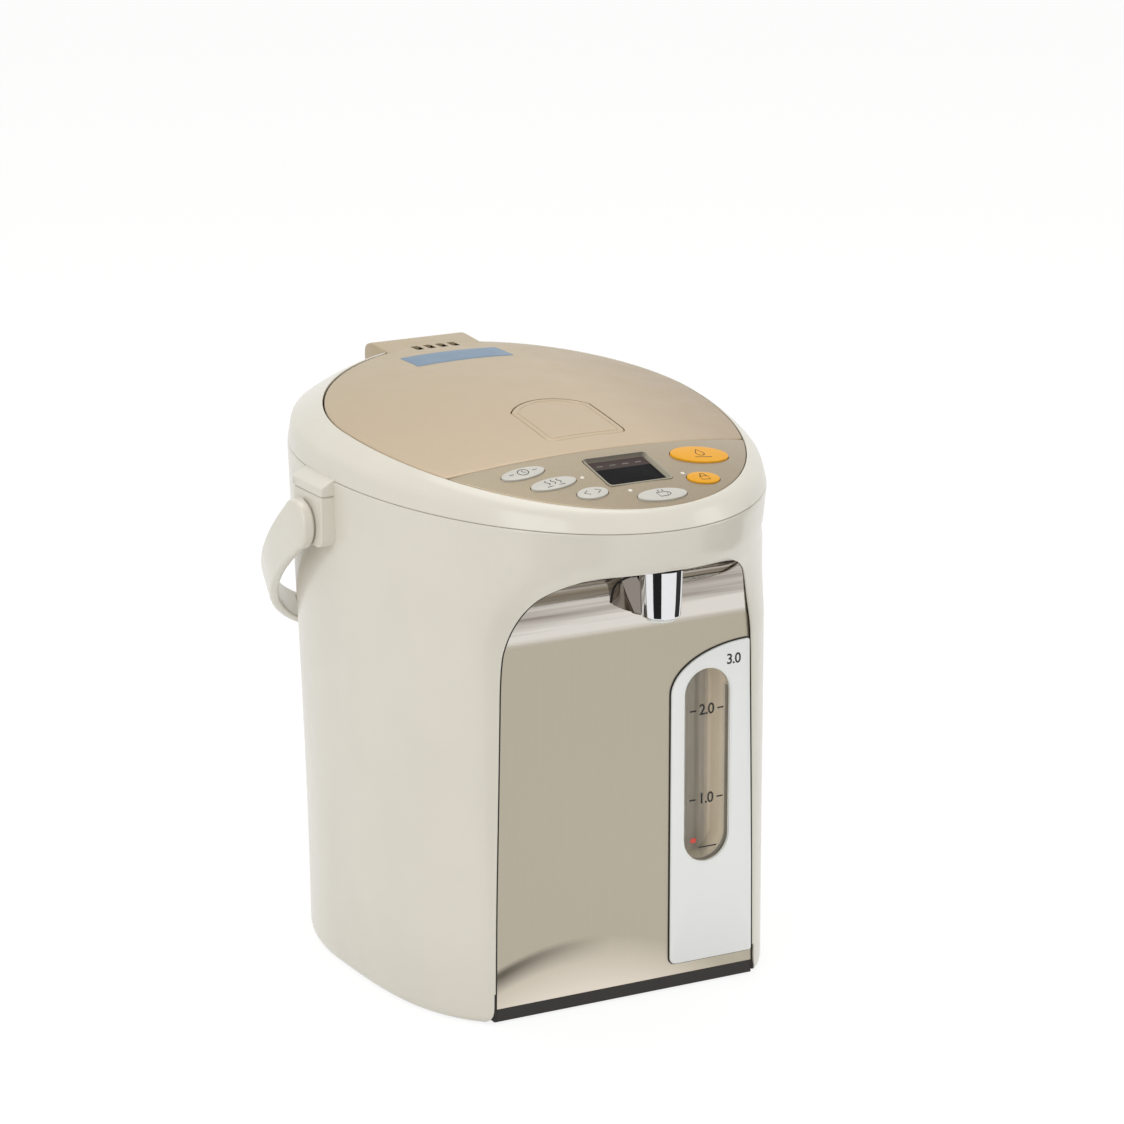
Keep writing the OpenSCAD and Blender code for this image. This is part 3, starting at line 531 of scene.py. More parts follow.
def across(corners: Sequence[Sequence[Point]], radii: Sequence[float],
           steps: int = 4) -> list[Ring]:
    """Turns rings of corners into the rings of a band with a rounded section.

    Args:
        corners: one ring for each corner of the section.
        radii: how far from each corner its curve starts.
        steps: how many pieces a curve has.

    Returns:
        The rings of the band.
    """
    columns = [soft_line([ring[i] for ring in corners], radii, steps, closed=True)
               for i in range(len(corners[0]))]
    return [[column[k] for column in columns] for k in range(len(columns[0]))]


def inward(outline: Sequence[Flat], amount: float) -> list[Flat]:
    """Moves a closed outline inwards along its own normals.

    Args:
        outline: the closed outline.
        amount: how far, or less than 0.

    Returns:
        The moved outline, with as many points.
    """
    n = len(outline)
    area = sum(outline[i][0] * outline[(i + 1) % n][1] - outline[(i + 1) % n][0] * outline[i][1]
               for i in range(n))
    side = 1.0 if area > 0 else -1.0
    out = []
    for i in range(n):
        p, a, b = (Vector(outline[k]) for k in (i, i - 1, (i + 1) % n))
        e0, e1 = (p - a).normalized(), (b - p).normalized()
        n0, n1 = Vector((-e0.y, e0.x)), Vector((-e1.y, e1.x))
        mid = (n0 + n1).normalized()
        q = p + mid * (side * amount / max(mid.dot(n0), 0.5))
        out.append((q.x, q.y))
    return out


def slab(name: str, outline: Sequence[Flat], levels: Levels, place: Place) -> Obj:
    """Builds a padded plate from one outline.

    Args:
        name: the object's name.
        outline: the closed outline in the plate's own plane.
        levels: for each ring its inset, its scale about the middle and its height.
        place: lays (u, v, height) into the pot's frame.

    Returns:
        The closed plate.
    """
    n = len(outline)
    cu, cv = sum(p[0] for p in outline) / n, sum(p[1] for p in outline) / n
    rings = []
    for inset, scale, height in levels:
        ring = inward(outline, inset) if inset else list(outline)
        rings.append([place(cu + (u - cu) * scale, cv + (v - cv) * scale, height)
                      for u, v in ring])
    return loft(name, rings)


def rim(name: str, outline: Sequence[Flat], section: Sequence[Flat], place: Place) -> Obj:
    """Builds a frame round an outline from a closed section of (inset, height)."""
    rings = [[place(u, v, h) for u, v in inward(outline, inset)] for inset, h in section]
    return loft(name, rings, band=True)


def ellipse(a: float, b: float, n: int = 96) -> list[Flat]:
    """Closed ellipse of half axes a and b."""
    return [(a * math.cos(2 * math.pi * i / n), b * math.sin(2 * math.pi * i / n))
            for i in range(n)]


def fillet(corners: Sequence[Flat], radii: Sequence[float], steps: int = 6) -> list[Flat]:
    """Closed flat outline with rounded corners."""
    line = soft_line([(x, y, 0.0) for x, y in corners], radii, steps, closed=True)
    return [(p[0], p[1]) for p in line]


def dense(outline: Sequence[Flat], step: float) -> list[Flat]:
    """Adds points to a closed outline so that no side is longer than step.

    Args:
        outline: the closed outline.
        step: the longest side.

    Returns:
        The outline with its old points and the new ones.
    """
    out: list[Flat] = []
    for i, (x, y) in enumerate(outline):
        nx, ny = outline[(i + 1) % len(outline)]
        parts = max(1, math.ceil(math.hypot(nx - x, ny - y) / step))
        out += [(x + (nx - x) * k / parts, y + (ny - y) * k / parts) for k in range(parts)]
    return out


def box(x0: float, y0: float, x1: float, y1: float) -> list[Flat]:
    """The corners of a rectangle from (x0, y0) to (x1, y1)."""
    return [(x0, y0), (x1, y0), (x1, y1), (x0, y1)]


def box_outline(w: float, d: float, r: float) -> list[Flat]:
    """Rounded rectangle about the origin."""
    return fillet(box(-w / 2, -d / 2, w / 2, d / 2), [r] * 4)


def stadium(w: float, h: float, low: float, x: float) -> list[Flat]:
    """Upright slot outline with round ends, from low to low + h."""
    r = w / 2
    return ([polar(r, a, x, low + h - r) for a in range(0, 181, 6)]
            + [polar(r, a, x, low + r) for a in range(180, 361, 6)])


def crowned(name: str, outline: Callable[[float], list[Flat]], middle: float,
            levels: Levels) -> Obj:
    """Builds a skin that follows the pot's crowned top.

    Args:
        name: the object's name.
        outline: gives the skin's outline for an inset.
        middle: the Y about which the inner rings shrink.
        levels: for each ring its inset, its scale and its height over the top.

    Returns:
        The closed skin.
    """
    return loft(name, [[over_top(x * scale, middle + (y - middle) * scale, h)
                        for x, y in outline(inset)] for inset, scale, h in levels])


def prism(name: str, outline: Sequence[Flat], low: float, high: float, place: Place) -> Obj:
    """Plain prism of an outline, mostly used for cutting."""
    return loft(name, [[place(u, v, h) for u, v in outline] for h in (low, high)])


def applied(obj: Obj) -> Obj:
    """Bakes all modifiers of an object into its mesh."""
    graph = bpy.context.evaluated_depsgraph_get()
    graph.update()
    mesh = bpy.data.meshes.new_from_object(obj.evaluated_get(graph))
    obj.modifiers.clear()
    old, obj.data = obj.data, mesh
    bpy.data.meshes.remove(old)
    mesh.name = obj.name
    return obj


def carve(obj: Obj, *tools: Obj, keep: bool = False) -> Obj:
    """Cuts tools out of obj, or keeps only what is inside them, and removes the tools.

    Args:
        obj: the object that is cut.
        tools: the closed solids to cut with.
        keep: True to keep what is inside them.

    Returns:
        The cut object.
    """
    for tool in tools:
        cut = obj.modifiers.new("cut", "BOOLEAN")
        cut.operation = "INTERSECT" if keep else "DIFFERENCE"
        cut.solver = "EXACT"
        cut.object = tool
        applied(obj)
        bpy.data.objects.remove(tool)
    return obj


def bevelled(obj: Obj, width: float) -> Obj:
    """Rounds the sharp edges of obj by a width in millimetres."""
    mod = obj.modifiers.new("soft", "BEVEL")
    mod.width = width * MM
    mod.segments = 3
    mod.limit_method = "ANGLE"
    mod.angle_limit = math.radians(40.0)
    mod.use_clamp_overlap = True
    return applied(obj)


def joined(name: str, *parts: Obj) -> Obj:
    """Joins several objects into one mesh.

    Args:
        name: the name of the new object.
        parts: what it is made of.

    Returns:
        The new object, in place of the parts.
    """
    work = bmesh.new()
    for part in parts:
        work.from_mesh(part.data)
    mesh = bpy.data.meshes.new(name)
    work.to_mesh(mesh)
    work.free()
    for part in parts:
        bpy.data.objects.remove(part)
    return new_object(name, mesh)


def strokes(name: str, paths: Sequence[Sequence[Flat]], width: float, place: Place,
            height: Callable[[float, float], float], thick: float = 0.1) -> Obj:
    """Draws flat lines on a surface, as thin closed ribbons.

    Args:
        name: the object's name.
        paths: the lines, each a list of (u, v).
        width: the width of a line.
        place: lays (u, v, height) into the pot's frame.
        height: the height of the surface at (u, v).
        thick: how far a line stands proud.

    Returns:
        All lines as one object.
    """
    points: Ring = []
    faces: list[tuple[int, ...]] = []
    sunk = -0.25
    for path in paths:
        start, n = len(points), len(path)
        for i, p in enumerate(path):
            a, b = Vector(path[max(i - 1, 0)]), Vector(path[min(i + 1, n - 1)])
            if path[0] == path[-1] and i in (0, n - 1):
                a, b = Vector(path[-2]), Vector(path[1])
            d = (b - a).normalized()
            side = Vector((-d.y, d.x)) * width / 2
            for s, top in ((1, thick), (-1, thick), (-1, sunk), (1, sunk)):
                q = Vector(p) + side * s
                points.append(place(q.x, q.y, height(q.x, q.y) + top))
        for i in range(n - 1):
            for k in range(4):
                a, b = start + 4 * i + k, start + 4 * i + (k + 1) % 4
                faces.append((a, b, b + 4, a + 4))
        faces += [tuple(start + k for k in range(4)),
                  tuple(start + 4 * (n - 1) + k for k in range(4))]
    return build(name, points, faces)


# ---------- finishes ----------


def linear(colour: Colour) -> tuple[float, float, float, float]:
    """Screen colour from 0 to 255 as the linear colour that shaders take."""
    def one(v: float) -> float:
        """One channel."""
        v /= 255
        return v / 12.92 if v <= 0.04045 else ((v + 0.055) / 1.055) ** 2.4
    return one(colour[0]), one(colour[1]), one(colour[2]), 1.0


def add_node(tree: NodeTree, kind: str, **values: object) -> bpy.types.Node:
    """Adds a node and gives its inputs and properties their values.

    Args:
        tree: the tree that takes the node.
        kind: the node's type.
        values: a value or socket for each input, with _ for a space, or a property.

    Returns:
        The new node.
    """
    node = tree.nodes.new(kind)
    for key, value in values.items():
        name = key.replace("_", " ")
        if name not in node.inputs.keys():
            setattr(node, key, value)
        elif isinstance(value, Socket):
            tree.links.new(value, node.inputs[name])
        else:
            node.inputs[name].default_value = value
    return node


def give(tree: NodeTree, socket: Socket, value: object) -> None:
    """Links a socket to an input, or sets the input to a value."""
    if isinstance(value, Socket):
        tree.links.new(value, socket)
    else:
        socket.default_value = value


class Tree:
    """A small helper that adds nodes to one material."""

    def __init__(self, name: str) -> None:
        """Makes an empty material with a principled shader."""
        self.material = bpy.data.materials.new(name)
        self.material.use_nodes = True
        self.tree = self.material.node_tree
        self.shader = self.tree.nodes["Principled BSDF"]
        self.coords = self.add("ShaderNodeTexCoord").outputs["Object"]

    def add(self, kind: str, **values: object) -> bpy.types.Node:
        """Adds a node with its inputs and properties by name."""
        return add_node(self.tree, kind, **values)

    def noise(self, scale: float, stretch: Point = (1, 1, 1), detail: float = 3.0) -> Socket:
        """Noise over the piece, stretched by a factor along each axis.

        Args:
            scale: how fine it is.
            stretch: the factor along each axis.
            detail: how many finer layers it has.

        Returns:
            The noise, from 0 to 1.
        """
        mapping = self.add("ShaderNodeMapping", Scale=stretch, Vector=self.coords)
        noise = self.add("ShaderNodeTexNoise", Scale=scale, Detail=detail, Roughness=0.55,
                         Vector=mapping.outputs["Vector"])
        return noise.outputs["Fac"]

    def ranged(self, value: Socket, low: float, high: float,
               start: float = 0.3, end: float = 0.7) -> Socket:
        """Maps a value from start..end to low..high.

        Args:
            value: the value.
            low: what start becomes.
            high: what end becomes.
            start: lower end of the value.
            end: upper end of the value.

        Returns:
            The mapped value.
        """
        node = self.add("ShaderNodeMapRange", From_Min=start, From_Max=end, To_Min=low,
                        To_Max=high, Value=value)
        return node.outputs["Result"]

    def mix(self, factor: Socket, a: object, b: object) -> Socket:
        """Mixes two colours, given as screen colours or sockets.

        Args:
            factor: the share of b.
            a: the first colour.
            b: the second colour.

        Returns:
            The mixed colour.
        """
        node = self.add("ShaderNodeMix", data_type="RGBA")
        give(self.tree, node.inputs[0], factor)
        for index, c in ((6, a), (7, b)):
            give(self.tree, node.inputs[index], linear(c) if isinstance(c, tuple) else c)
        return node.outputs[2]

    def varied(self, value: Socket, colour: Colour, spread: float) -> Socket:
        """A colour that a value makes a little deeper or paler."""
        pale = tuple(min(v + spread * 0.5, 255) for v in colour)
        deep = tuple(max(v - spread * 0.5, 0) for v in colour)
        return self.mix(self.ranged(value, 0, 1), deep, pale)

    def height(self, axis: str) -> Socket:
        """One coordinate of the piece, in metres."""
        return self.add("ShaderNodeSeparateXYZ", Vector=self.coords).outputs[axis]

    def maths(self, operation: str, a: object, b: object) -> Socket:
        """One sum of two values or sockets."""
        node = self.add("ShaderNodeMath", operation=operation)
        for index, v in enumerate((a, b)):
            give(self.tree, node.inputs[index], v)
        return node.outputs[0]

    def bump(self, value: Socket, strength: float) -> None:
        """Adds relief from a value."""
        node = self.add("ShaderNodeBump", Strength=strength, Distance=RELIEF, Height=value)
        self.to(Normal=node.outputs["Normal"])

    def to(self, **values: object) -> None:
        """Sets or links inputs of the shader, with _ for the space in a name."""
        for name, value in values.items():
            give(self.tree, self.shader.inputs[name.replace("_", " ")], value)


@dataclass(frozen=True)
class Moulded:
    """Moulded plastic with a fine skin and a slight cloudiness of its colour."""

    name: str
    colour: Colour
    roughness: float = 0.35
    coat: float = 0.0
    cloud: float = 5.0
    skin: float = 240.0
    relief: float = 0.03
    glow: float = 0.0
    shine: float = 0.45

    def material(self) -> Material:
        """Builds the plastic."""
        tree = Tree(self.name)
        tree.to(Base_Color=tree.varied(tree.noise(16.0), self.colour, self.cloud),
                Roughness=tree.ranged(tree.noise(90.0, detail=2.0),
                                      self.roughness - 0.03, self.roughness + 0.04),
                Coat_Weight=self.coat, Coat_Roughness=0.12, Specular_IOR_Level=self.shine)
        if self.glow:
            tree.to(Subsurface_Weight=self.glow, Subsurface_Radius=(0.004, 0.003, 0.002),
                    Subsurface_Scale=1.0)
        if self.relief:
            tree.bump(tree.noise(self.skin, detail=1.0), self.relief)
        return tree.material


@dataclass(frozen=True)
class MetalPaint:
    """Metallic paint: fine flakes, a drift of colour along Y and an optional side colour along X;
    on the lid and the bezel these paint light and shade.
    """

    name: str
    front: Colour
    rear: Colour
    roughness: float = 0.42
    metallic: float = 0.35
    span: tuple[float, float] = (-0.14, 0.09)
    flake: float = 0.1
    side: Colour | None = None

    def material(self) -> Material:
        """Builds the paint."""
        tree = Tree(self.name)
        # painted light and shade on the lid and the bezel: colour drifts along Y, and the lid's
        # right side is darker
        drift = tree.ranged(tree.height("Y"), 0, 1, *self.span)
        base = tree.mix(drift, self.front, self.rear)
        if self.side is not None:
            base = tree.mix(tree.ranged(tree.height("X"), 0, 1, 0.03, 0.11), base, self.side)
        flakes = tree.ranged(tree.noise(2200.0, detail=1.0), 0.0, self.flake, 0.45, 0.75)
        tree.to(Base_Color=tree.mix(flakes, base, (236, 226, 206)), Metallic=self.metallic,
                Roughness=tree.ranged(tree.noise(60.0), self.roughness - 0.05,
                                      self.roughness + 0.05),
                Specular_IOR_Level=0.22, Coat_Weight=0.1, Coat_Roughness=0.18)
        tree.bump(tree.noise(1400.0, detail=1.0), 0.03)
        return tree.material


class Brush(Enum):
    """Which way a brushed metal is drawn."""

    UPRIGHT = (1800.0, 1800.0, 14.0)
    LEVEL = (14.0, 14.0, 1800.0)
    PLAIN = (220.0, 220.0, 220.0)


@dataclass(frozen=True)
class Metal:
    """Metal with drawn streaks, polished where its polish range says; its colour can carry painted
    reflections.
    """

    name: str
    colour: Colour
    roughness: float
    brush: Brush = Brush.PLAIN
    streak: float = 10.0
    polish_from: float | None = None
    polish_to: float = 0.0
    # rear: colour of a painted dark reflection, reached between the two Y places below
    rear: Colour | None = None
    painted_reflection_from: float = 0.0
    painted_reflection_to: float = 0.0
    # whether the colour gets a painted reflection of a table's edge and the floor
    painted_bow_reflection: bool = False

    @staticmethod
    def with_painted_bow(tree: Tree, colour: Socket) -> Socket:
        """A painted reflection: a dark bow low at the left where a table's edge would be mirrored,
        and a paler painted reflection of the floor below it.

        Args:
            tree: the material's tree.
            colour: the steel's colour so far.

        Returns:
            The colour with the bow and the foot in it.
        """
        bow_top, bow_x, bend = 0.0356, 0.025, 4.2
        side = tree.height("X")
        off = tree.maths("ADD", side, bow_x)
        line = tree.maths("SUBTRACT", bow_top,
                          tree.maths("MULTIPLY", tree.maths("MULTIPLY", off, off), bend))
        depth = tree.maths("SUBTRACT", line, tree.height("Z"))
        dark = tree.maths("MULTIPLY", tree.ranged(depth, 0, 1, -0.0008, 0.0022),
                          tree.ranged(depth, 1, 0, 0.004, 0.0125))
        dark = tree.maths("MULTIPLY", dark, tree.ranged(side, 1, 0, -0.066, -0.008))
        pale = tree.mix(tree.ranged(depth, 0, 1, 0.0, 0.026), colour, (226, 216, 202))
        return tree.mix(dark, pale, (104, 98, 88))

    def material(self) -> Material:
        """Builds the metal."""
        tree = Tree(self.name)
        lines = tree.noise(1.0, self.brush.value, detail=4.0)
        colour = tree.varied(lines, self.colour, self.streak)
        rough = tree.ranged(lines, self.roughness - 0.03, self.roughness + 0.03)
        if self.painted_bow_reflection:
            colour = self.with_painted_bow(tree, colour)
        if self.polish_from is not None:
            up = tree.ranged(tree.height("Z"), 0, 1, self.polish_from, self.polish_to)
            bright = tree.ranged(tree.noise(30.0), 0.035, 0.06)
            blend = tree.add("ShaderNodeMix", data_type="FLOAT")
            for index, socket in ((0, up), (2, rough), (3, bright)):
                give(tree.tree, blend.inputs[index], socket)
            rough = blend.outputs[0]
            # painted reflection: light and dark bands across the polished part
            bands = tree.ranged(tree.noise(1.0, (4.0, 150.0, 150.0), detail=2.0),
                                0, 1, 0.36, 0.62)
            colour = tree.mix(up, colour, tree.mix(bands, (146, 138, 129), (214, 209, 202)))
        # painted dark reflection towards the rear
        if self.rear is not None:
            back = tree.ranged(tree.height("Y"), 0, 1, self.painted_reflection_from, self.painted_reflection_to)
            colour = tree.mix(back, colour, self.rear)
        tree.to(Base_Color=colour, Metallic=1.0, Roughness=rough)
        if self.roughness > 0.12:
            tree.bump(lines, 0.02)
        return tree.material


@dataclass(frozen=True)
class Clear:
    """Clear or tinted plastic that light passes through."""

    name: str
    colour: Colour
    roughness: float = 0.03
    alpha: float = 1.0

    def material(self) -> Material:
        """Builds the clear plastic."""
        tree = Tree(self.name)
        faint = tuple(max(v - 4, 0) for v in self.colour)
        tree.to(Base_Color=tree.mix(tree.ranged(tree.noise(40.0), 0, 1), faint, self.colour),
                Roughness=tree.ranged(tree.noise(300.0), self.roughness, self.roughness + 0.02),
                Transmission_Weight=1.0, IOR=1.45, Alpha=self.alpha)
        return tree.material


@dataclass(frozen=True)
class Painted:
    """A colour with a second colour past a line along one axis, for glass and boards."""

    name: str
    colour: Colour
    other: Colour
    axis: str
    start: float
    end: float
    roughness: float = 0.3
    coat: float = 0.6
    gloss: float = 0.5

    def material(self) -> Material:
        """Builds the two-colour finish."""
        tree = Tree(self.name)
        step = tree.ranged(tree.height(self.axis), 0, 1, self.start, self.end)
        grain = tree.ranged(tree.noise(900.0), 0, 0.03)
        two = tree.mix(step, self.colour, self.other)
        tree.to(Base_Color=tree.mix(grain, two, (120, 118, 114)),
                Roughness=tree.ranged(tree.noise(200.0), self.roughness - 0.03,
                                      self.roughness + 0.05),
                Specular_IOR_Level=self.gloss, Coat_Weight=self.coat, Coat_Roughness=0.04)
        return tree.material


class Palette:
    """All finishes of the pot by the name of their material slot."""

    FINISHES = {finish.name: finish for finish in (
        Moulded("ivory_shell", (216, 212, 200), 0.36, coat=0.4, relief=0.015),
        # painted light and shade: paler to the front, darker on the right side
        MetalPaint("champagne_lid", (198, 178, 152), (180, 164, 137), 0.4,
                   0.2, side=(158, 139, 114)),
        MetalPaint("taupe_panel", (152, 138, 116), (166, 153, 130), 0.36, 0.5,
                   (-0.135, -0.08)),
        # painted reflections: a dark bow and a pale foot low on the plate, and bands on the
        # polished cove
        Metal("brushed_plate", (181, 173, 156), 0.33, Brush.UPRIGHT, 3.0,
              0.186, 0.190, painted_bow_reflection=True),
        # painted dark reflection on the rear of the spout's neck
        Metal("chrome", (226, 226, 228), 0.05, Brush.PLAIN, 3.0,
              rear=(136, 129, 121), painted_reflection_from=-0.1308, painted_reflection_to=-0.1294),
        Moulded("dark_base", (36, 32, 28), 0.5),
        Moulded("rubber_feet", (46, 45, 43), 0.8, relief=0.15),
        Moulded("inner_plastic", (222, 218, 207), 0.45),
        Moulded("grey_plastic", (122, 119, 112), 0.5),
        Moulded("gauge_liner", (248, 236, 216), 0.5, relief=0.0),
        # painted shade: near black, for strips and floors put where shade falls in gaps and slots
        Moulded("painted_shade", (24, 22, 20), 0.6),
        Moulded("gauge_white", (238, 240, 239), 0.36, 0.4, 3.0, relief=0.0),
        Clear("clear_plastic", (236, 240, 240), alpha=0.16),
        Painted("display", (20, 20, 22), (76, 67, 65), "Y", -0.0975, -0.0970,
                0.35, 0.0, 0.02),
        # painted shade: the bezel's rear wall dark
        MetalPaint("bezel", (158, 152, 135), (84, 78, 70), 0.34, 0.3,
                   (-0.0915, -0.0885), 0.03),
        Moulded("lens", (226, 220, 206), 0.36, coat=0.5, relief=0.0),
        Moulded("silver_key", (200, 198, 190), 0.36, 0.15, 4.0, relief=0.0, shine=0.25),
        Moulded("yellow_key", (232, 166, 34), 0.36, 0.1, 6.0, relief=0.0, shine=0.12),
        Metal("steel", (196, 196, 198), 0.24, Brush.LEVEL, 10.0),
        Metal("wire", (200, 200, 202), 0.2),
        Metal("insulation", (206, 208, 212), 0.35, Brush.PLAIN, 22.0),
        Metal("heater_metal", (150, 138, 124), 0.5, Brush.PLAIN, 18.0),
        Moulded("pump_plastic", (220, 217, 206), 0.45),
        Moulded("impeller_plastic", (77, 110, 143), 0.4),
        Moulded("magnet", (62, 62, 64), 0.6, relief=0.25),
        Moulded("silicone", (196, 188, 174), 0.55, glow=0.2),
        Moulded("gasket", (146, 141, 134), 0.6),
        Painted("board_green", (40, 98, 62), (52, 120, 78), "X", -0.004, 0.004,
                0.35, 0.5),
        Moulded("black_plastic", (32, 32, 33), 0.4),
        Metal("contact", (212, 186, 120), 0.25),
        Moulded("nozzle", (228, 232, 228), 0.36, 0.4, relief=0.0, glow=0.3),
        Moulded("ink", (34, 32, 32), 0.6, cloud=3.0, relief=0.0),
        Moulded("soft_ink", (112, 106, 98), 0.5, cloud=3.0),
        Moulded("red_mark", (214, 70, 60), 0.4, cloud=4.0),
        Moulded("blue_plate", (116, 138, 160), 0.5, cloud=5.0),
    )}
    _made: dict[str, Material] = {}

    @classmethod
    def get(cls, name: str) -> Material:
        """The material of a finish, built once."""
        if name not in cls._made:
            cls._made[name] = cls.FINISHES[name].material()
        return cls._made[name]


# ---------- repeats by geometry nodes ----------


class Repeater:
    """Geometry node trees for rows and circles of one small part."""

    def __init__(self, name: str) -> None:
        """Starts a tree with a geometry output."""
        self.tree = bpy.data.node_groups.new(name, "GeometryNodeTree")
        self.tree.interface.new_socket("Geometry", in_out="OUTPUT",
                                       socket_type="NodeSocketGeometry")
        self.inputs: dict[str, tuple[str, object]] = {}
        self.entry = self.tree.nodes.new("NodeGroupInput")
        self.exit = self.tree.nodes.new("NodeGroupOutput")

    def input(self, name: str, kind: str, value: object) -> Socket:
        """Adds a named input with the value for this use."""
        item = self.tree.interface.new_socket(name, in_out="INPUT", socket_type=kind)
        self.inputs[name] = (item.identifier, value)
        return self.entry.outputs[name]

    def node(self, kind: str, **values: object) -> bpy.types.Node:
        """Adds a node with its inputs by name."""
        return add_node(self.tree, kind, **values)

    def finish(self, name: str, geometry: Socket, finish: str) -> Obj:
        """Realizes the instances, sets the material and bakes a plain mesh."""
        real = self.node("GeometryNodeRealizeInstances", Geometry=geometry)
        dressed = self.node("GeometryNodeSetMaterial", Geometry=real.outputs[0],
                            Material=Palette.get(finish))
        self.tree.links.new(dressed.outputs[0], self.exit.inputs[0])
        obj = new_object(name, bpy.data.meshes.new(name))
        mod = obj.modifiers.new("repeat", "NODES")
        mod.node_group = self.tree
        for identifier, value in self.inputs.values():
            mod[identifier] = value
        return applied(obj)


def row_of_bars(name: str, count: int, start: Point, step: Point, size: Point,
                finish: str) -> Obj:
    """A straight row of equal bars.

    Args:
        name: the object's name.
        count: how many bars.
        start: the middle of the first bar, in millimetres.
        step: from one bar to the next.
        size: the size of a bar.
        finish: the finish of the bars.

    Returns:
        The row as a plain mesh.
    """
    rep = Repeater(name + "_row")
    number = rep.input("Count", "NodeSocketInt", count)
    first = rep.input("Start", "NodeSocketVector", [v * MM for v in start])
    offset = rep.input("Step", "NodeSocketVector", [v * MM for v in step])
    extent = rep.input("Size", "NodeSocketVector", [v * MM for v in size])
    line = rep.node("GeometryNodeMeshLine", Count=number, Start_Location=first, Offset=offset)
    bar = rep.node("GeometryNodeMeshCube", Size=extent)
    put = rep.node("GeometryNodeInstanceOnPoints", Points=line.outputs[0],
                   Instance=bar.outputs[0])
    return rep.finish(name, put.outputs[0], finish)


def circle_of_studs(name: str, count: int, centre: Point, radius: float, stud_r: float,
                    stud_h: float, finish: str) -> Obj:
    """A circle of round studs, used for rivets.

    Args:
        name: the object's name.
        count: how many studs.
        centre: the middle of the circle, in millimetres.
        radius: the circle's radius.
        stud_r: the radius of a stud.
        stud_h: the height of a stud.
        finish: the finish of the studs.

    Returns:
        The circle as a plain mesh.
    """
    rep = Repeater(name + "_circle")
    number = rep.input("Count", "NodeSocketInt", count)
    reach = rep.input("Radius", "NodeSocketFloat", radius * MM)
    size = rep.input("Stud Radius", "NodeSocketFloat", stud_r * MM)
    tall = rep.input("Stud Height", "NodeSocketFloat", stud_h * MM)
    middle = rep.input("Centre", "NodeSocketVector", [v * MM for v in centre])
    ring = rep.node("GeometryNodeMeshCircle", Vertices=number, Radius=reach)
    stud = rep.node("GeometryNodeMeshCylinder", Vertices=20, Radius=size, Depth=tall)
    moved = rep.node("GeometryNodeTransform", Geometry=ring.outputs[0], Translation=middle)
    put = rep.node("GeometryNodeInstanceOnPoints", Points=moved.outputs[0],
                   Instance=stud.outputs["Mesh"])
    return rep.finish(name, put.outputs[0], finish)


# ---------- fitting pieces to the frame ----------


SLOTS = {m.get("slot") for m in frame["record"]["materials"]}


def fit(obj: Obj, finish: str, on: str, *stands_for: str, degrees: float = 32.0) -> Obj:
    """Dresses a finished piece and hangs it on the body of a CAD node.

    Args:
        obj: the piece, already in place.
        finish: the name of its finish in the palette.
        on: a CAD node whose body carries the piece.
        stands_for: the CAD nodes that the piece replaces.
        degrees: edges sharper than this stay sharp.

    Returns:
        The piece.
    """
    mesh = obj.data
    mesh.materials.clear()
    mesh.materials.append(Palette.get(finish))
    mesh.polygons.foreach_set("use_smooth", [True] * len(mesh.polygons))
    mesh.set_sharp_from_angle(angle=math.radians(degrees))
    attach(obj, frame["nodes"][on]["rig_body"])
    if stands_for:
        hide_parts(*stands_for)
    LOG.info("%s: %d faces in %s", obj.name, len(mesh.polygons), finish)
    return obj


def copied(name: str, node: str, plain: bool = False) -> Obj:
    """A merged copy of a CAD node, with its flat faces in one piece unless plain.

    Args:
        name: the copy's name.
        node: the CAD node.
        plain: True to leave all faces apart.

    Returns:
        The new object.
    """
    mesh = frame["nodes"][node].data.copy()
    work = bmesh.new()
    work.from_mesh(mesh)
    bmesh.ops.remove_doubles(work, verts=work.verts, dist=MERGE)
    if not plain:
        bmesh.ops.dissolve_limit(work, angle_limit=math.radians(0.6), verts=work.verts,
                                 edges=work.edges)
    work.to_mesh(mesh)
    work.free()
    return new_object(name, mesh)


def smoothed(node: str, finish: str, width: float = 0.0) -> Obj:
    """A smooth copy of a CAD node with its own finish and soft edges.

    Args:
        node: the CAD node.
        finish: the name of the finish.
        width: the width of its soft edges.

    Returns:
        The dressed piece.
    """
    obj = copied(node + "_piece", node)
    if width:
        bevelled(obj, width)
    return fit(obj, finish, node, node)


# ---------- housing ----------


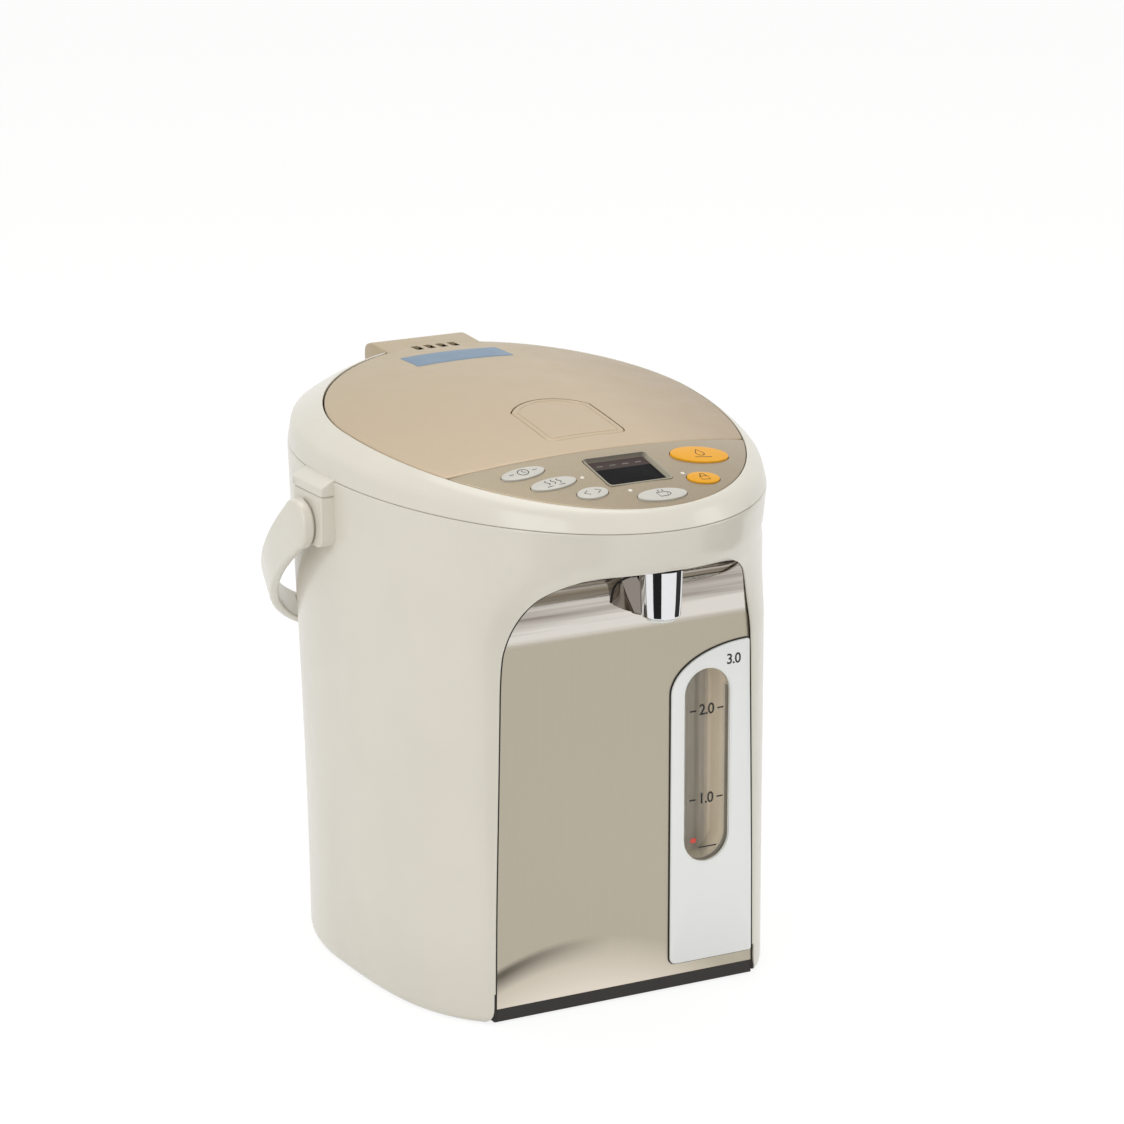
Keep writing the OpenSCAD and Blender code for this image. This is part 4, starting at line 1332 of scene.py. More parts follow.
@dataclass
class Housing:
    """Body shell, shoulder, handle bosses and base."""

    opening: float = 70.4
    cove_gap: float = 1.1
    bead: float = 0.55
    seam_gap: float = 0.22
    painted_shade_w: float = 0.9
    rim_low: float = 247.2
    shoulder_y: float = 8.0
    reach: Flat = (-320.0, -60.0)
    arch_half: float = 38.0
    lip_low: float = 8.3
    painted_shade_low: float = 1.2

    def make(self) -> None:
        """Builds and hangs all pieces of the housing."""
        self.shell()
        self.arch_bead()
        self.painted_shade()
        self.shoulder()
        self.bosses()
        self.base()

    @staticmethod
    def cove_tool(name: str, half: float, off: float, low: float) -> Obj:
        """Solid in front of the plate and cove face, to cut with.

        Args:
            name: the object's name.
            half: half its width.
            off: how far its face lies behind the steel's.
            low: the height of its foot.

        Returns:
            The solid.
        """
        f, far = FORM, -300.0
        line = [(far, low), (f.plate_y + off, low), (f.plate_y + off, f.cove_z)]
        r = f.cove_r + off
        line += [polar(r, a, f.cove_y, f.cove_z) for a in range(2, 91, 2)]
        return prism(name, line + [(far, f.cove_z + r)], -half, half, sideways)

    def shell(self) -> None:
        """The ivory body: one wall with soft rims, open at the front."""
        f = FORM
        rows = [(0.9, 2.4), (1.1, 1.7), (1.6, 1.0), (2.5, 0.45), (4.0, 0.1), (6.0, 0.0)]
        rows += [(z, 0.0) for z in range(12, 180, 12)]
        rows += [(180 + 3.0 * k, 0.0) for k in range(22)]
        rows += [(245.6, 0.0), (246.4, 0.12), (246.85, 0.4), (247.0, 0.8)]
        inner = [(247.0, 2.2)] + [(z, f.wall) for z in (246.0, 236, 218, 200, 180, 100, 0.9)]
        body = loft("body_shell_piece", [f.body_ring(z, t) for z, t in rows + inner], band=True)
        w = self.opening
        foot = loft("foot_cut", [[(x, y, z) for x, y in box(-w - r, -150, w + r, -90)]
                                 for r, z in ((6.2, -1.0), (5.0, 1.2), (3.7, 2.9),
                                              (2.9, 4.8), (2.5, 7.0), (2.4, 9.0))])
        inlet = prism("inlet_cut", box(-20.5, 29.5, 20.5, 54.5), 115.0, 145.0, upright)
        front = carve(self.cove_tool("cove_cut", w + 6, self.cove_gap, -5),
                      prism("arch_keep", self.opening_outline(), *self.reach, upright),
                      keep=True)
        carve(body, front, foot, inlet)
        fit(body, "ivory_shell", "body_shell", "body_shell", degrees=38)

    @staticmethod
    def opening_side() -> list[Flat]:
        """The right edge of the front opening from its foot to the arch, as (x, z)."""
        up = [(73.0, -6.0), (72.8, 8.0), (72.2, 60.0), (71.2, 110.0), (70.3, 154.0),
              (69.9, 170.0), (69.1, 181.6), (67.6, 188.8), (65.3, 196.4), (62.5, 203.4),
              (59.6, 208.9), (56.2, 213.7), (51.6, 217.9), (45.4, 221.9), (38.5, 224.8),
              (28.0, 227.6), (16.0, 229.4)]
        return through(up, 5)

    def opening_outline(self, inset: float = 0.0) -> list[Flat]:
        """The closed outline of the front opening, drawn in by inset."""
        side = self.opening_side()
        line = side + [(-x, z) for x, z in reversed(side)]
        return inward(line, inset) if inset else line

    def arch_side(self, low: float) -> list[Flat]:
        """The right edge from the height low up to where the arch starts."""
        return [(x, z) for x, z in self.opening_side() if z > low and x > self.arch_half + 0.5]

    def arch_line(self) -> Ring:
        """The edge of the front opening, from the left foot over to the right."""
        f = FORM
        side = self.arch_side(self.lip_low)
        left = [(-x, f.front_y(-x, z), f.rise(z, 0)) for x, z in side]
        over = []
        for k in range(61):
            x = -self.arch_half * math.cos(math.pi * k / 60)
            z = self.arch_z(abs(x))
            over.append((x, f.front_y(x, z), f.rise(z, 0)))
        return left + over + [(-x, y, z) for x, y, z in reversed(left)]

    def arch_z(self, x: float) -> float:
        """Height of the opening's edge at x."""
        return sum(bisect(150.0, FORM.lip_z + 0.09,
                          lambda z: FORM.front_y(x, z) < FORM.cove_at(z, self.cove_gap))) / 2

    def arch_bead(self) -> None:
        """Rounded lip that runs along the edge of the opening."""
        line = [Vector(p) for p in self.arch_line()]
        rings = []
        for i, p in enumerate(line):
            d = (line[min(i + 1, len(line) - 1)] - line[max(i - 1, 0)]).normalized()
            side = d.cross(Vector((0, -1, 0))).normalized()
            front = side.cross(d).normalized()
            inner = p + side * self.bead * 0.45 + Vector((0, self.bead * 0.75, 0))
            rings.append([tuple(inner + (side * math.cos(a) + front * math.sin(a)) * self.bead)
                          for a in (2 * math.pi * k / 14 for k in range(14))])
        fit(loft("arch_lip", rings), "ivory_shell", "body_shell")

    def painted_shade(self) -> None:
        """Painted shade: a dark strip in the gap between the steel front and the edge of the
        opening.
        """
        f, rings = FORM, []
        side = self.arch_side(self.painted_shade_low)
        over = [self.arch_half * math.cos(math.pi * k / 40) for k in range(1, 40)]
        line = side + [(x, self.arch_z(abs(x))) for x in over] + [
            (-x, z) for x, z in reversed(side)]
        for i, (x, z) in enumerate(line):
            a, b = line[max(i - 1, 0)], line[min(i + 1, len(line) - 1)]
            along = Vector((b[0] - a[0], 0, b[1] - a[1])).normalized()
            into = Vector((-along.z, 0, along.x))
            down = min(max((226 - z) / 20, 0.0), 1.0)
            y = min(f.front_y(x, z) + 0.5, f.plate_y - 0.2)
            if x > 0:
                y += (max(y, f.cove_at(z, 0) - 0.5) - y) * down
            # wider at the left, where more painted shade is wanted
            w = self.painted_shade_w + (0.9 if x < 0 else -0.2) * down
            p = Vector((x, 0, f.rise(z, 0)))
            rings.append([tuple(p + into * u + Vector((0, y + v, 0))) for u, v in
                          ((-0.5, 0.0), (w, 0.2), (w, 2.0), (-0.5, 2.0))])
        fit(loft("front_gap_shade", rings), "painted_shade", "front_frame")

    def shoulder(self) -> None:
        """The sloping shoulder round the lid, with a soft crease."""
        f = FORM
        half, front, rear = f.body_w / 2, f.head_front, f.shoulder_rear
        seam, seam_in, crease, crease_in = (
            f.egg_ring(half - a, self.shoulder_y, front + b, rear - c) for a, b, c in
            ((0.15, 7.85, 8.15), (2.7, 5.3, 10.7), (1, 3, 14), (3.6, 1, 16.6)))
        edge, edge_in = f.oval_ring(0.6, -1.2), f.oval_ring(2.0, -1.2)
        low = [(x, y, f.seam_z(y) + self.seam_gap) for x, y in seam]
        bend = [(x, y, f.crease_z(y)) for x, y in crease]
        top = [over_top(x, y, 0.3) for x, y in edge]
        mid = [((a[0] + b[0]) / 2, (a[1] + b[1]) / 2, (a[2] + b[2]) / 2 + 0.9)
               for a, b in zip(bend, top)]
        corners = [low, bend, mid, top,
                   [(x, y, self.rim_low) for x, y in edge],
                   [(x, y, self.rim_low) for x, y in edge_in],
                   [over_top(x, y, -4.6) for x, y in edge_in],
                   [(x, y, f.crease_z(y) - 3) for x, y in crease_in],
                   [(x, y, f.seam_z(y) + self.seam_gap) for x, y in seam_in]]
        radii = (0.7, 3.0, 9.0, 1.0, 0.2, 0.2, 0.5, 0.5, 0.4)
        ring = loft("shoulder_ring_piece", across(corners, radii, 6), band=True)
        notch = prism("notch_cut", box(-27.3, 85, 27.3, 126.2), 262.0, 302.0, level)
        fit(carve(ring, notch), "ivory_shell", "shoulder_ring", "shoulder_ring", degrees=42)

    def bosses(self) -> None:
        """The blocks that carry the handle pins, and their sloping caps."""
        blocks, caps = [], []
        outline = dense(fillet(box(-6, 219, 24, 244.8), [6.5, 6.5, 1.2, 1.2], 8), 2.0)
        cap = dense(fillet(box(-7, 244.9, 25, 253.6), [1.2, 1.2, 1.5, 1.5], 4), 1.6)
        for s in (-1, 1):
            def out(u: float, v: float, h: float, s: int = s) -> Point:
                """Heights run outwards from the body."""
                return s * (100 + h), u, v

            def sloped(u: float, v: float, h: float, s: int = s) -> Point:
                """The cap's end leans back and its top falls outwards."""
                fall = max(h - 7.6, 0.0) * 0.62 * (v - 245.05) / 8.55
                return s * (100 + h), u, v - fall
            levels = [(0, 1, 0.0), (0, 1, 12.9), (0.08, 1, 13.4), (0.3, 1, 13.8),
                      (0.6, 1, 14.0)]
            blocks.append(slab(f"boss_{s}", outline, levels, out))
            tops = [(0, 1, 0.0), (0, 1, 7.6), (0, 1, 10.5), (0, 1, 12.9), (0.1, 1, 13.6),
                    (0.35, 1, 14.0), (0.7, 1, 14.2)]
            caps.append(slab(f"cap_{s}", cap, tops, sloped))
        fit(joined("handle_bosses_piece", *blocks), "ivory_shell", "handle_bosses",
            "handle_bosses")
        fit(joined("boss_caps_piece", *caps), "ivory_shell", "boss_caps", "boss_caps")

    def base(self) -> None:
        """Bottom cover with the dark strip under the steel, feet, screws and inlet."""
        smoothed("bottom_cover", "dark_base")
        section = [(-101.2, 1.2), (-101.2, 7.4), (-97.0, 7.4), (-97.0, 1.2)]
        fit(prism("base_strip", section, -71.9, 71.9, sideways), "dark_base", "bottom_cover")
        smoothed("feet", "rubber_feet", 0.5)
        smoothed("base_screws", "wire")
        smoothed("inlet_socket", "black_plastic", 0.5)
        smoothed("inlet_pins", "contact")


# ---------- front ----------


@dataclass
class Front:
    """Steel plate with its cove, water gauge and spout."""

    plate_t: float = 0.8
    gauge_x: float = 44.8
    slot_low: float = 64.0
    slot_w: float = 25.5
    slot_h: float = 98.0
    spout_y: float = -133.8
    spout_low: float = 202.2
    spout_top: float = 226.4

    def make(self, housing: Housing) -> None:
        """Builds and hangs all pieces of the front."""
        self.plate(housing)
        self.gauge()
        self.marks()
        self.spout(housing)
        smoothed("front_frame", "grey_plastic")
        smoothed("spout_nozzle", "nozzle", 0.35)
        tip = [(0.0, 4.0), (0.0, 0.9), (0.25, 0.35), (0.7, 0.05), (1.1, 0.2), (1.3, 0.7),
               (1.3, 4.0)]
        fit(rim("nozzle_tip", dense(ellipse(5.9, 5.9, 72), 1.0), tip,
                lambda u, v, h: (u, self.spout_y + v, self.spout_low - 1.9 + h)),
            "nozzle", "spout_nozzle")

    def plate(self, housing: Housing) -> None:
        """The steel sheet: upright face, then the polished cove.

        Args:
            housing: the housing, whose opening trims the sheet.
        """
        f = FORM

        def face(off: float) -> list[Flat]:
            """The face's line in Y and Z, moved back by off."""
            r = f.cove_r + off
            flat = [(f.plate_y + off, z) for z in (7.5, 60.0, 120.0, f.cove_z)]
            bow = [polar(r, 1.5 * k, f.cove_y, f.cove_z) for k in range(1, 61)]
            return flat + bow + [(f.cove_y - 12, f.cove_z + r)]
        w = 76.0
        sheet = loft("front_plate_piece", [[(-w, *a), (w, *a), (w, *b), (-w, *b)]
                                           for a, b in zip(face(0), face(self.plate_t))])
        inside = loft("plate_trim", [f.body_ring(z, 0.5) for z in
                                     [0.0, 60.0, 120.0] + [180 + 2 * k for k in range(28)]])
        trim = prism("plate_keep", housing.opening_outline(0.45), *housing.reach, upright)
        carve(sheet, inside, trim, keep=True)
        slot = prism("slot_cut", self.slot(), -120, -90, upright)
        hole = prism("spout_cut", ellipse(11.2, 11.2, 64), 200, 240,
                     lambda u, v, h: (u, self.spout_y + v, h))
        carve(sheet, slot, hole)
        fit(sheet, "brushed_plate", "front_plate", "front_plate", degrees=30)

    def slot(self, more: float = 0.0) -> list[Flat]:
        """Outline of the gauge's opening, grown by half of more on each side."""
        return stadium(self.slot_w + more, self.slot_h + more, self.slot_low - more / 2,
                       self.gauge_x)

    def gauge(self) -> None:
        """White plate, clear window and the tube behind it."""
        y = FORM.plate_y

        def forward(u: float, v: float, h: float) -> Point:
            """Heights run to the front of the steel face."""
            return u, y - 0.1 - h, v
        edge = [(69.6 + 44.6 * math.cos(math.radians(q)), 150.5 + 23.4 * math.sin(math.radians(q)))
                for q in range(94, 181, 5)]
        edge += [(25.0, 16.5), (25.4, 15.0), (26.4, 13.9), (28.2, 13.5), (70.0, 13.5),
                 (70.8, 13.9), (71.2, 14.8), (70.7, 60.0), (69.7, 110.0), (68.9, 150.0),
                 (68.5, 173.0), (68.1, 173.7), (67.4, 173.85)]
        # painted shadow: a dark sheet under the white plate, grown 0.5 past its outline so a dark
        # line shows round it
        under = slab("gauge_plate_shade", inward(dense(edge, 3.0), -0.5),
                     [(0, 1, -0.2), (0, 1, 0.45)], forward)
        carve(under, prism("shade_cut", self.slot(7), -5, 5, forward))
        fit(under, "painted_shade", "gauge_plate")
        plate = slab("gauge_plate_piece", dense(edge, 6.0),
                     [(0, 1, 0.0), (0, 1, 1.1), (0.12, 1, 1.4), (0.4, 1, 1.5)], forward)
        carve(plate, prism("gauge_cut", self.slot(), -5, 5, forward))
        fit(plate, "gauge_white", "gauge_plate", "gauge_plate")
        section = [(0.0, 1.35), (0.0, 1.55), (-0.5, 1.75), (-1.0, 1.6), (-1.2, 1.4),
                   (-0.6, 1.2)]
        fit(rim("gauge_rim", dense(self.slot(), 3.0), section, forward),
            "gauge_white", "gauge_plate")
        smoothed("gauge_window", "clear_plastic", 0.3)
        smoothed("gauge_tube", "clear_plastic")
        back = slab("gauge_back", dense(stadium(27.0, 99.5, 63.2, self.gauge_x), 4.0),
                    [(0, 1, -17.6), (0, 1, -16.8), (0.3, 1, -16.6)], forward)
        well = rim("gauge_well", dense(stadium(26.2, 98.7, 63.6, self.gauge_x), 3.0),
                   [(0.0, -1.0), (0.0, -16.9), (-0.5, -16.9), (-0.5, -1.0)], forward)
        fit(joined("gauge_back_piece", back, well), "gauge_liner", "front_frame")

    def marks(self) -> None:
        """Scale of the gauge: short ticks and plain numbers."""
        y, one, litre = FORM.plate_y - 0.95, 95.9, 45.1
        for name, count, x, z, size, finish in (
                ("gauge_ticks_left", 2, -7.7, one, (3.4, 0.16, 0.7), "ink"),
                ("gauge_ticks_right", 2, 7.7, one, (3.4, 0.16, 0.7), "ink"),
                ("gauge_low_mark", 1, 1.0, 71.2, (10.0, 0.16, 0.6), "ink"),
                ("gauge_red_mark", 1, -7.0, 75.2, (3.0, 0.16, 2.2), "red_mark")):
            fit(row_of_bars(name, count, (self.gauge_x + x, y, z), (0, 0, litre), size, finish),
                finish, "gauge_window")
        for name, text, x, z, size, depth in (
                ("number_one", "1.0", self.gauge_x, one, 7.6, y),
                ("number_two", "2.0", self.gauge_x, one + litre, 7.6, y),
                ("number_three", "3.0", 59.4, 164.6, 7.2, FORM.plate_y - 1.62)):
            fit(self.number(name, text, x, z, size, depth), "ink",
                "gauge_plate" if depth < y else "gauge_window")

    @staticmethod
    def number(name: str, text: str, x: float, z: float, size: float, y: float) -> Obj:
        """A plain number standing upright at (x, y, z), as a thin solid.

        Args:
            name: the object's name.
            text: the number.
            x: its middle across the pot.
            z: the height of its middle.
            size: the size of the font.
            y: where its face lies.

        Returns:
            The number as a mesh.
        """
        curve = bpy.data.curves.new(name, "FONT")
        curve.body = text
        curve.size = size * MM
        curve.align_x, curve.align_y = "CENTER", "CENTER"
        curve.extrude = 0.08 * MM
        curve.offset = 0.09 * MM
        curve.space_character = 0.94
        letters = new_object(name + "_letters", curve)
        graph = bpy.context.evaluated_depsgraph_get()
        mesh = bpy.data.meshes.new_from_object(letters.evaluated_get(graph))
        bpy.data.objects.remove(letters)
        for v in mesh.vertices:
            v.co = (x * MM + v.co.x * 0.98, y * MM - v.co.z, z * MM + v.co.y)
        return new_object(name, welded(mesh))

    def spout(self, housing: Housing) -> None:
        """Chrome spout: a barrel with a housing that runs back into the cove.

        Args:
            housing: the housing, whose cove ends the neck.
        """
        y0, low, top, back = self.spout_y, self.spout_low, self.spout_top, -97.0

        def outline(r: float, flare: float) -> list[Flat]:
            """Round barrel, then a neck that widens a little towards the cove."""
            arc = [polar(r, a, 0.0, y0) for a in range(156, 385, 4)]
            x0, near = arc[-1][0] - 0.25, arc[-1][1] + 0.5
            side = [(x0 + flare * (1 - (1 - min(k / 4, 1)) ** 2), near + (back - near) * k / 9)
                    for k in range(10)]
            return arc + side + [(-x, y) for x, y in reversed(side)]

        def barrel_of(name: str, more: float, off: float) -> Obj:
            """Barrel and neck, grown by more and ended off in front of the cove."""
            rings = []
            for z, grow in ((low, -1.0), (low + 0.15, -0.5), (low + 0.5, -0.12),
                            (low + 1.0, 0.0), (low + 8, 0.35), (low + 16, 0.7), (top, 1.0)):
                ring = outline(9.4 + grow + more, 3.4 + 0.22 * (z - low))
                rings.append([(x, y, z) for x, y in ring])
            body = carve(loft(name, rings), housing.cove_tool(name + "_keep", 30, off, 150),
                         keep=True)
            slope = [(y, low + up - more) for y, up in (
                (y0 + 9.6, -2), (y0 + 9.6, 0.9), (-110.0, 0.9), (-108.6, 1.3),
                (-107.7, 2.1), (-107.2, 3.4), (back, 3.4), (back, -2))]
            return carve(body, prism(name + "_slope", slope, -20, 20, sideways))
        barrel = barrel_of("spout_cover_piece", 0.0, -0.2)
        # painted shade: a dark band round the neck where it meets the cove
        joint = carve(barrel_of("spout_joint_shade", 0.55, -0.05),
                      housing.cove_tool("joint_cut", 30, -0.45, 150))
        fit(joint, "painted_shade", "spout_cover")
        bore = prism("spout_bore_cut", ellipse(7.4, 7.4, 64), low - 1, low + 40,
                     lambda u, v, h: (u, y0 + v, h))
        carve(barrel, bore)
        fit(barrel, "chrome", "spout_cover", "spout_cover", degrees=35)


# ---------- control panel ----------


class KeyKind(Enum):
    """The pictogram that a key carries."""

    CLOCK = "clock"
    STEAM = "steam"
    ARROWS = "arrows"
    CUP = "cup"
    PADLOCK = "padlock"
    DROP = "drop"


@dataclass(frozen=True)
class Key:
    """One key: its node, place, half size, finish and pictogram."""

    node: str
    x: float
    y: float
    half_l: float
    half_w: float
    finish: str
    kind: KeyKind

    def height(self, u: float, v: float) -> float:
        """Height of the key's domed top at (u, v)."""
        r = min(math.hypot(u / self.half_l, v / self.half_w), 1.0)
        return 1.1 - 0.5 * r ** 3.2

    def make(self) -> None:
        """Builds the domed cap and its pictogram."""
        place = on_top(self.x, self.y)
        outline = ellipse(self.half_l, self.half_w)
        levels = [(0, 1.0, -4.1), (0, 1.0, -0.2), (0, 1.0, 0.25)]
        levels += [(0, r, self.height(self.half_l * r, 0)) for r in
                   (0.985, 0.96, 0.92, 0.86, 0.78, 0.66, 0.5, 0.3, 0.12)]
        fit(slab(self.node + "_piece", outline, levels, place), self.finish, self.node,
            self.node)
        fit(strokes(self.node + "_mark", PICTOGRAMS[self.kind], 0.42, place, self.height,
                    0.06), "ink", self.node)


def arc_path(r: float, start: float, end: float, cx: float = 0.0, cy: float = 0.0,
             n: int = 20) -> list[Flat]:
    """Points of a round arc about (cx, cy)."""
    return [polar(r, start + (end - start) * k / n, cx, cy) for k in range(n + 1)]


PICTOGRAMS: dict[KeyKind, list[list[Flat]]] = {
    # a clock face with two hands, between two dashes
    KeyKind.CLOCK: [arc_path(2.7, 0, 360), [(0, 1.7), (0, 0), (1.3, -0.7)],
                    [(-7.4, 0), (-5.0, 0)], [(5.0, 0), (7.4, 0)]],
    # three rising waves over a line
    KeyKind.STEAM: [[(x + 0.7 * math.sin(2 * math.pi * k / 12), -1.6 + 4.4 * k / 12)
                     for k in range(13)] for x in (-3.0, 0.0, 3.0)] + [
                         [(-4.6, -2.9), (4.6, -2.9)]],
    # an arrow to each side
    KeyKind.ARROWS: [[(-2.0, 1.9), (-4.4, 0), (-2.0, -1.9)],
                     [(2.0, 1.9), (4.4, 0), (2.0, -1.9)]],
    # a cup with a handle and two short waves
    KeyKind.CUP: [[(-3.0, 1.0), (-2.3, -2.6), (1.9, -2.6), (2.6, 1.0), (-3.0, 1.0)],
                  arc_path(1.3, 80, -90, 2.6, -0.7, 10),
                  [(-1.4, 1.8), (-0.8, 2.3), (-1.4, 2.9), (-0.9, 3.5)],
                  [(0.8, 1.8), (1.4, 2.3), (0.8, 2.9), (1.3, 3.5)]],
    # a closed padlock
    KeyKind.PADLOCK: [[(-2.2, 0.2), (-2.2, -2.8), (2.2, -2.8), (2.2, 0.2), (-2.2, 0.2)],
                      [(-1.4, 0.2)] + arc_path(1.4, 180, 0, 0, 1.4, 12) + [(1.4, 0.2)]],
    # a drop over a tray line
    KeyKind.DROP: [[(0, 4.2)] + arc_path(2.2, 150, 390, 0, -0.2, 20) + [(0, 4.2)],
                   [(-4.6, -4.1), (4.6, -4.1)]],
}


@dataclass
class Panel:
    """Control panel with its keys, display and lamps."""

    key_gap: float = 0.35
    lamp_r: float = 1.15
    lamp_hole: float = 1.3
    lcd_y: float = -102.0
    lcd: Flat = (32.0, 26.0)
    lamps: tuple[Flat, ...] = ((-25.2, -103.3), (-9.7, -121.5), (24.6, -111.6))
    keys: tuple[Key, ...] = (
        Key("key_timer", -49, -88.8, 11.3, 5, "silver_key", KeyKind.CLOCK),
        Key("key_reboil", -40.8, -103.6, 11.8, 5, "silver_key", KeyKind.STEAM),
        Key("key_select", -28.2, -118.4, 7.9, 5, "silver_key", KeyKind.ARROWS),
        Key("key_keep_warm", 3, -129.4, 13, 5.4, "silver_key", KeyKind.CUP),
        Key("key_lock", 32.2, -117.8, 8.6, 5.6, "yellow_key", KeyKind.PADLOCK),
        Key("key_dispense", 44, -94.2, 15.6, 8.7, "yellow_key", KeyKind.DROP),
    )

    def make(self) -> None:
        """Builds and hangs all pieces of the panel."""
        self.skin_piece()
        for key in self.keys:
            key.make()
        self.display()
        for lamp_index, (x, y) in enumerate(self.lamps):
            lens = slab(f"lamp_{lamp_index + 1}", ellipse(self.lamp_r, self.lamp_r, 32),
                        [(0, 1, -3.4), (0, 1, 0.0), (0, 0.9, 0.12), (0, 0.6, 0.22),
                         (0, 0.2, 0.27)], on_top(x, y))
            fit(lens, "lens", "led_lenses", *(["led_lenses"] if lamp_index == 0 else []))
        smoothed("panel_tray", "grey_plastic")
        smoothed("control_board", "board_green")
        smoothed("tact_switches", "black_plastic")

    def skin_piece(self) -> None:
        """The metallic skin, cut for keys, display and lamps."""
        levels = [(0, 0.05, -2.4), (0, 0.5, -2.4), (0.8, 1, -2.4), (0, 1, -1.6), (0, 1, -0.45),
                  (0.12, 1, -0.18), (0.4, 1, -0.02), (0.9, 1, 0.0)]
        levels += [(0, r, 0.0) for r in (0.92, 0.8, 0.66, 0.5, 0.34, 0.18, 0.05)]
        skin = crowned("control_panel_piece",
                       lambda inset: FORM.panel_outline(-0.25 + inset, 0.75), FORM.panel_y,
                       levels)
        g, (w, d) = self.key_gap, self.lcd
        cuts = [("key_cut", ellipse(key.half_l + g, key.half_w + g, 72), key.x, key.y)
                for key in self.keys]
        cuts.append(("lcd_cut", box_outline(w + 3.4, d + 3.4, 3.2), 0, self.lcd_y))
        cuts += [("lamp_cut", ellipse(self.lamp_hole, self.lamp_hole, 32), x, y)
                 for x, y in self.lamps]
        for name, outline, x, y in cuts:
            carve(skin, prism(name, outline, -8, 8, on_top(x, y)))
        fit(skin, "taupe_panel", "control_panel", "control_panel")

    def display(self) -> None:
        """Bezel, tinted glass and the display under it."""
        place = on_top(0, self.lcd_y)
        w, d = self.lcd
        line = dense(box_outline(w + 2.9, d + 2.9, 2.9), 2.0)
        section = [(0.0, -3.2), (0.0, -0.1), (0.15, 0.1), (0.45, 0.18), (0.75, 0.1), (1.9, -1.5),
                   (2.0, -1.75), (2.0, -3.2)]
        fit(rim("lcd_bezel_piece", line, section, place), "bezel", "lcd_bezel", "lcd_bezel")
        glass = slab("lcd_window_piece", dense(box_outline(w - 1.1, d - 1.1, 1.2), 2.0),
                     [(0, 1, -2.6), (0, 1, -1.75), (0.1, 1, -1.6), (0.4, 1, -1.55)], place)
        fit(glass, "display", "lcd_window", "lcd_window")
        smoothed("lcd_module", "display")
        marks = [[(x - 1.6, 7.9), (x + 1.6, 7.9)] for x in (-10.5, -3.6, 3.4, 10.4)]
        fit(strokes("display_marks", marks, 0.8, place, lambda u, v: -1.55, 0.04),
            "soft_ink", "lcd_window")


# ---------- lid ----------


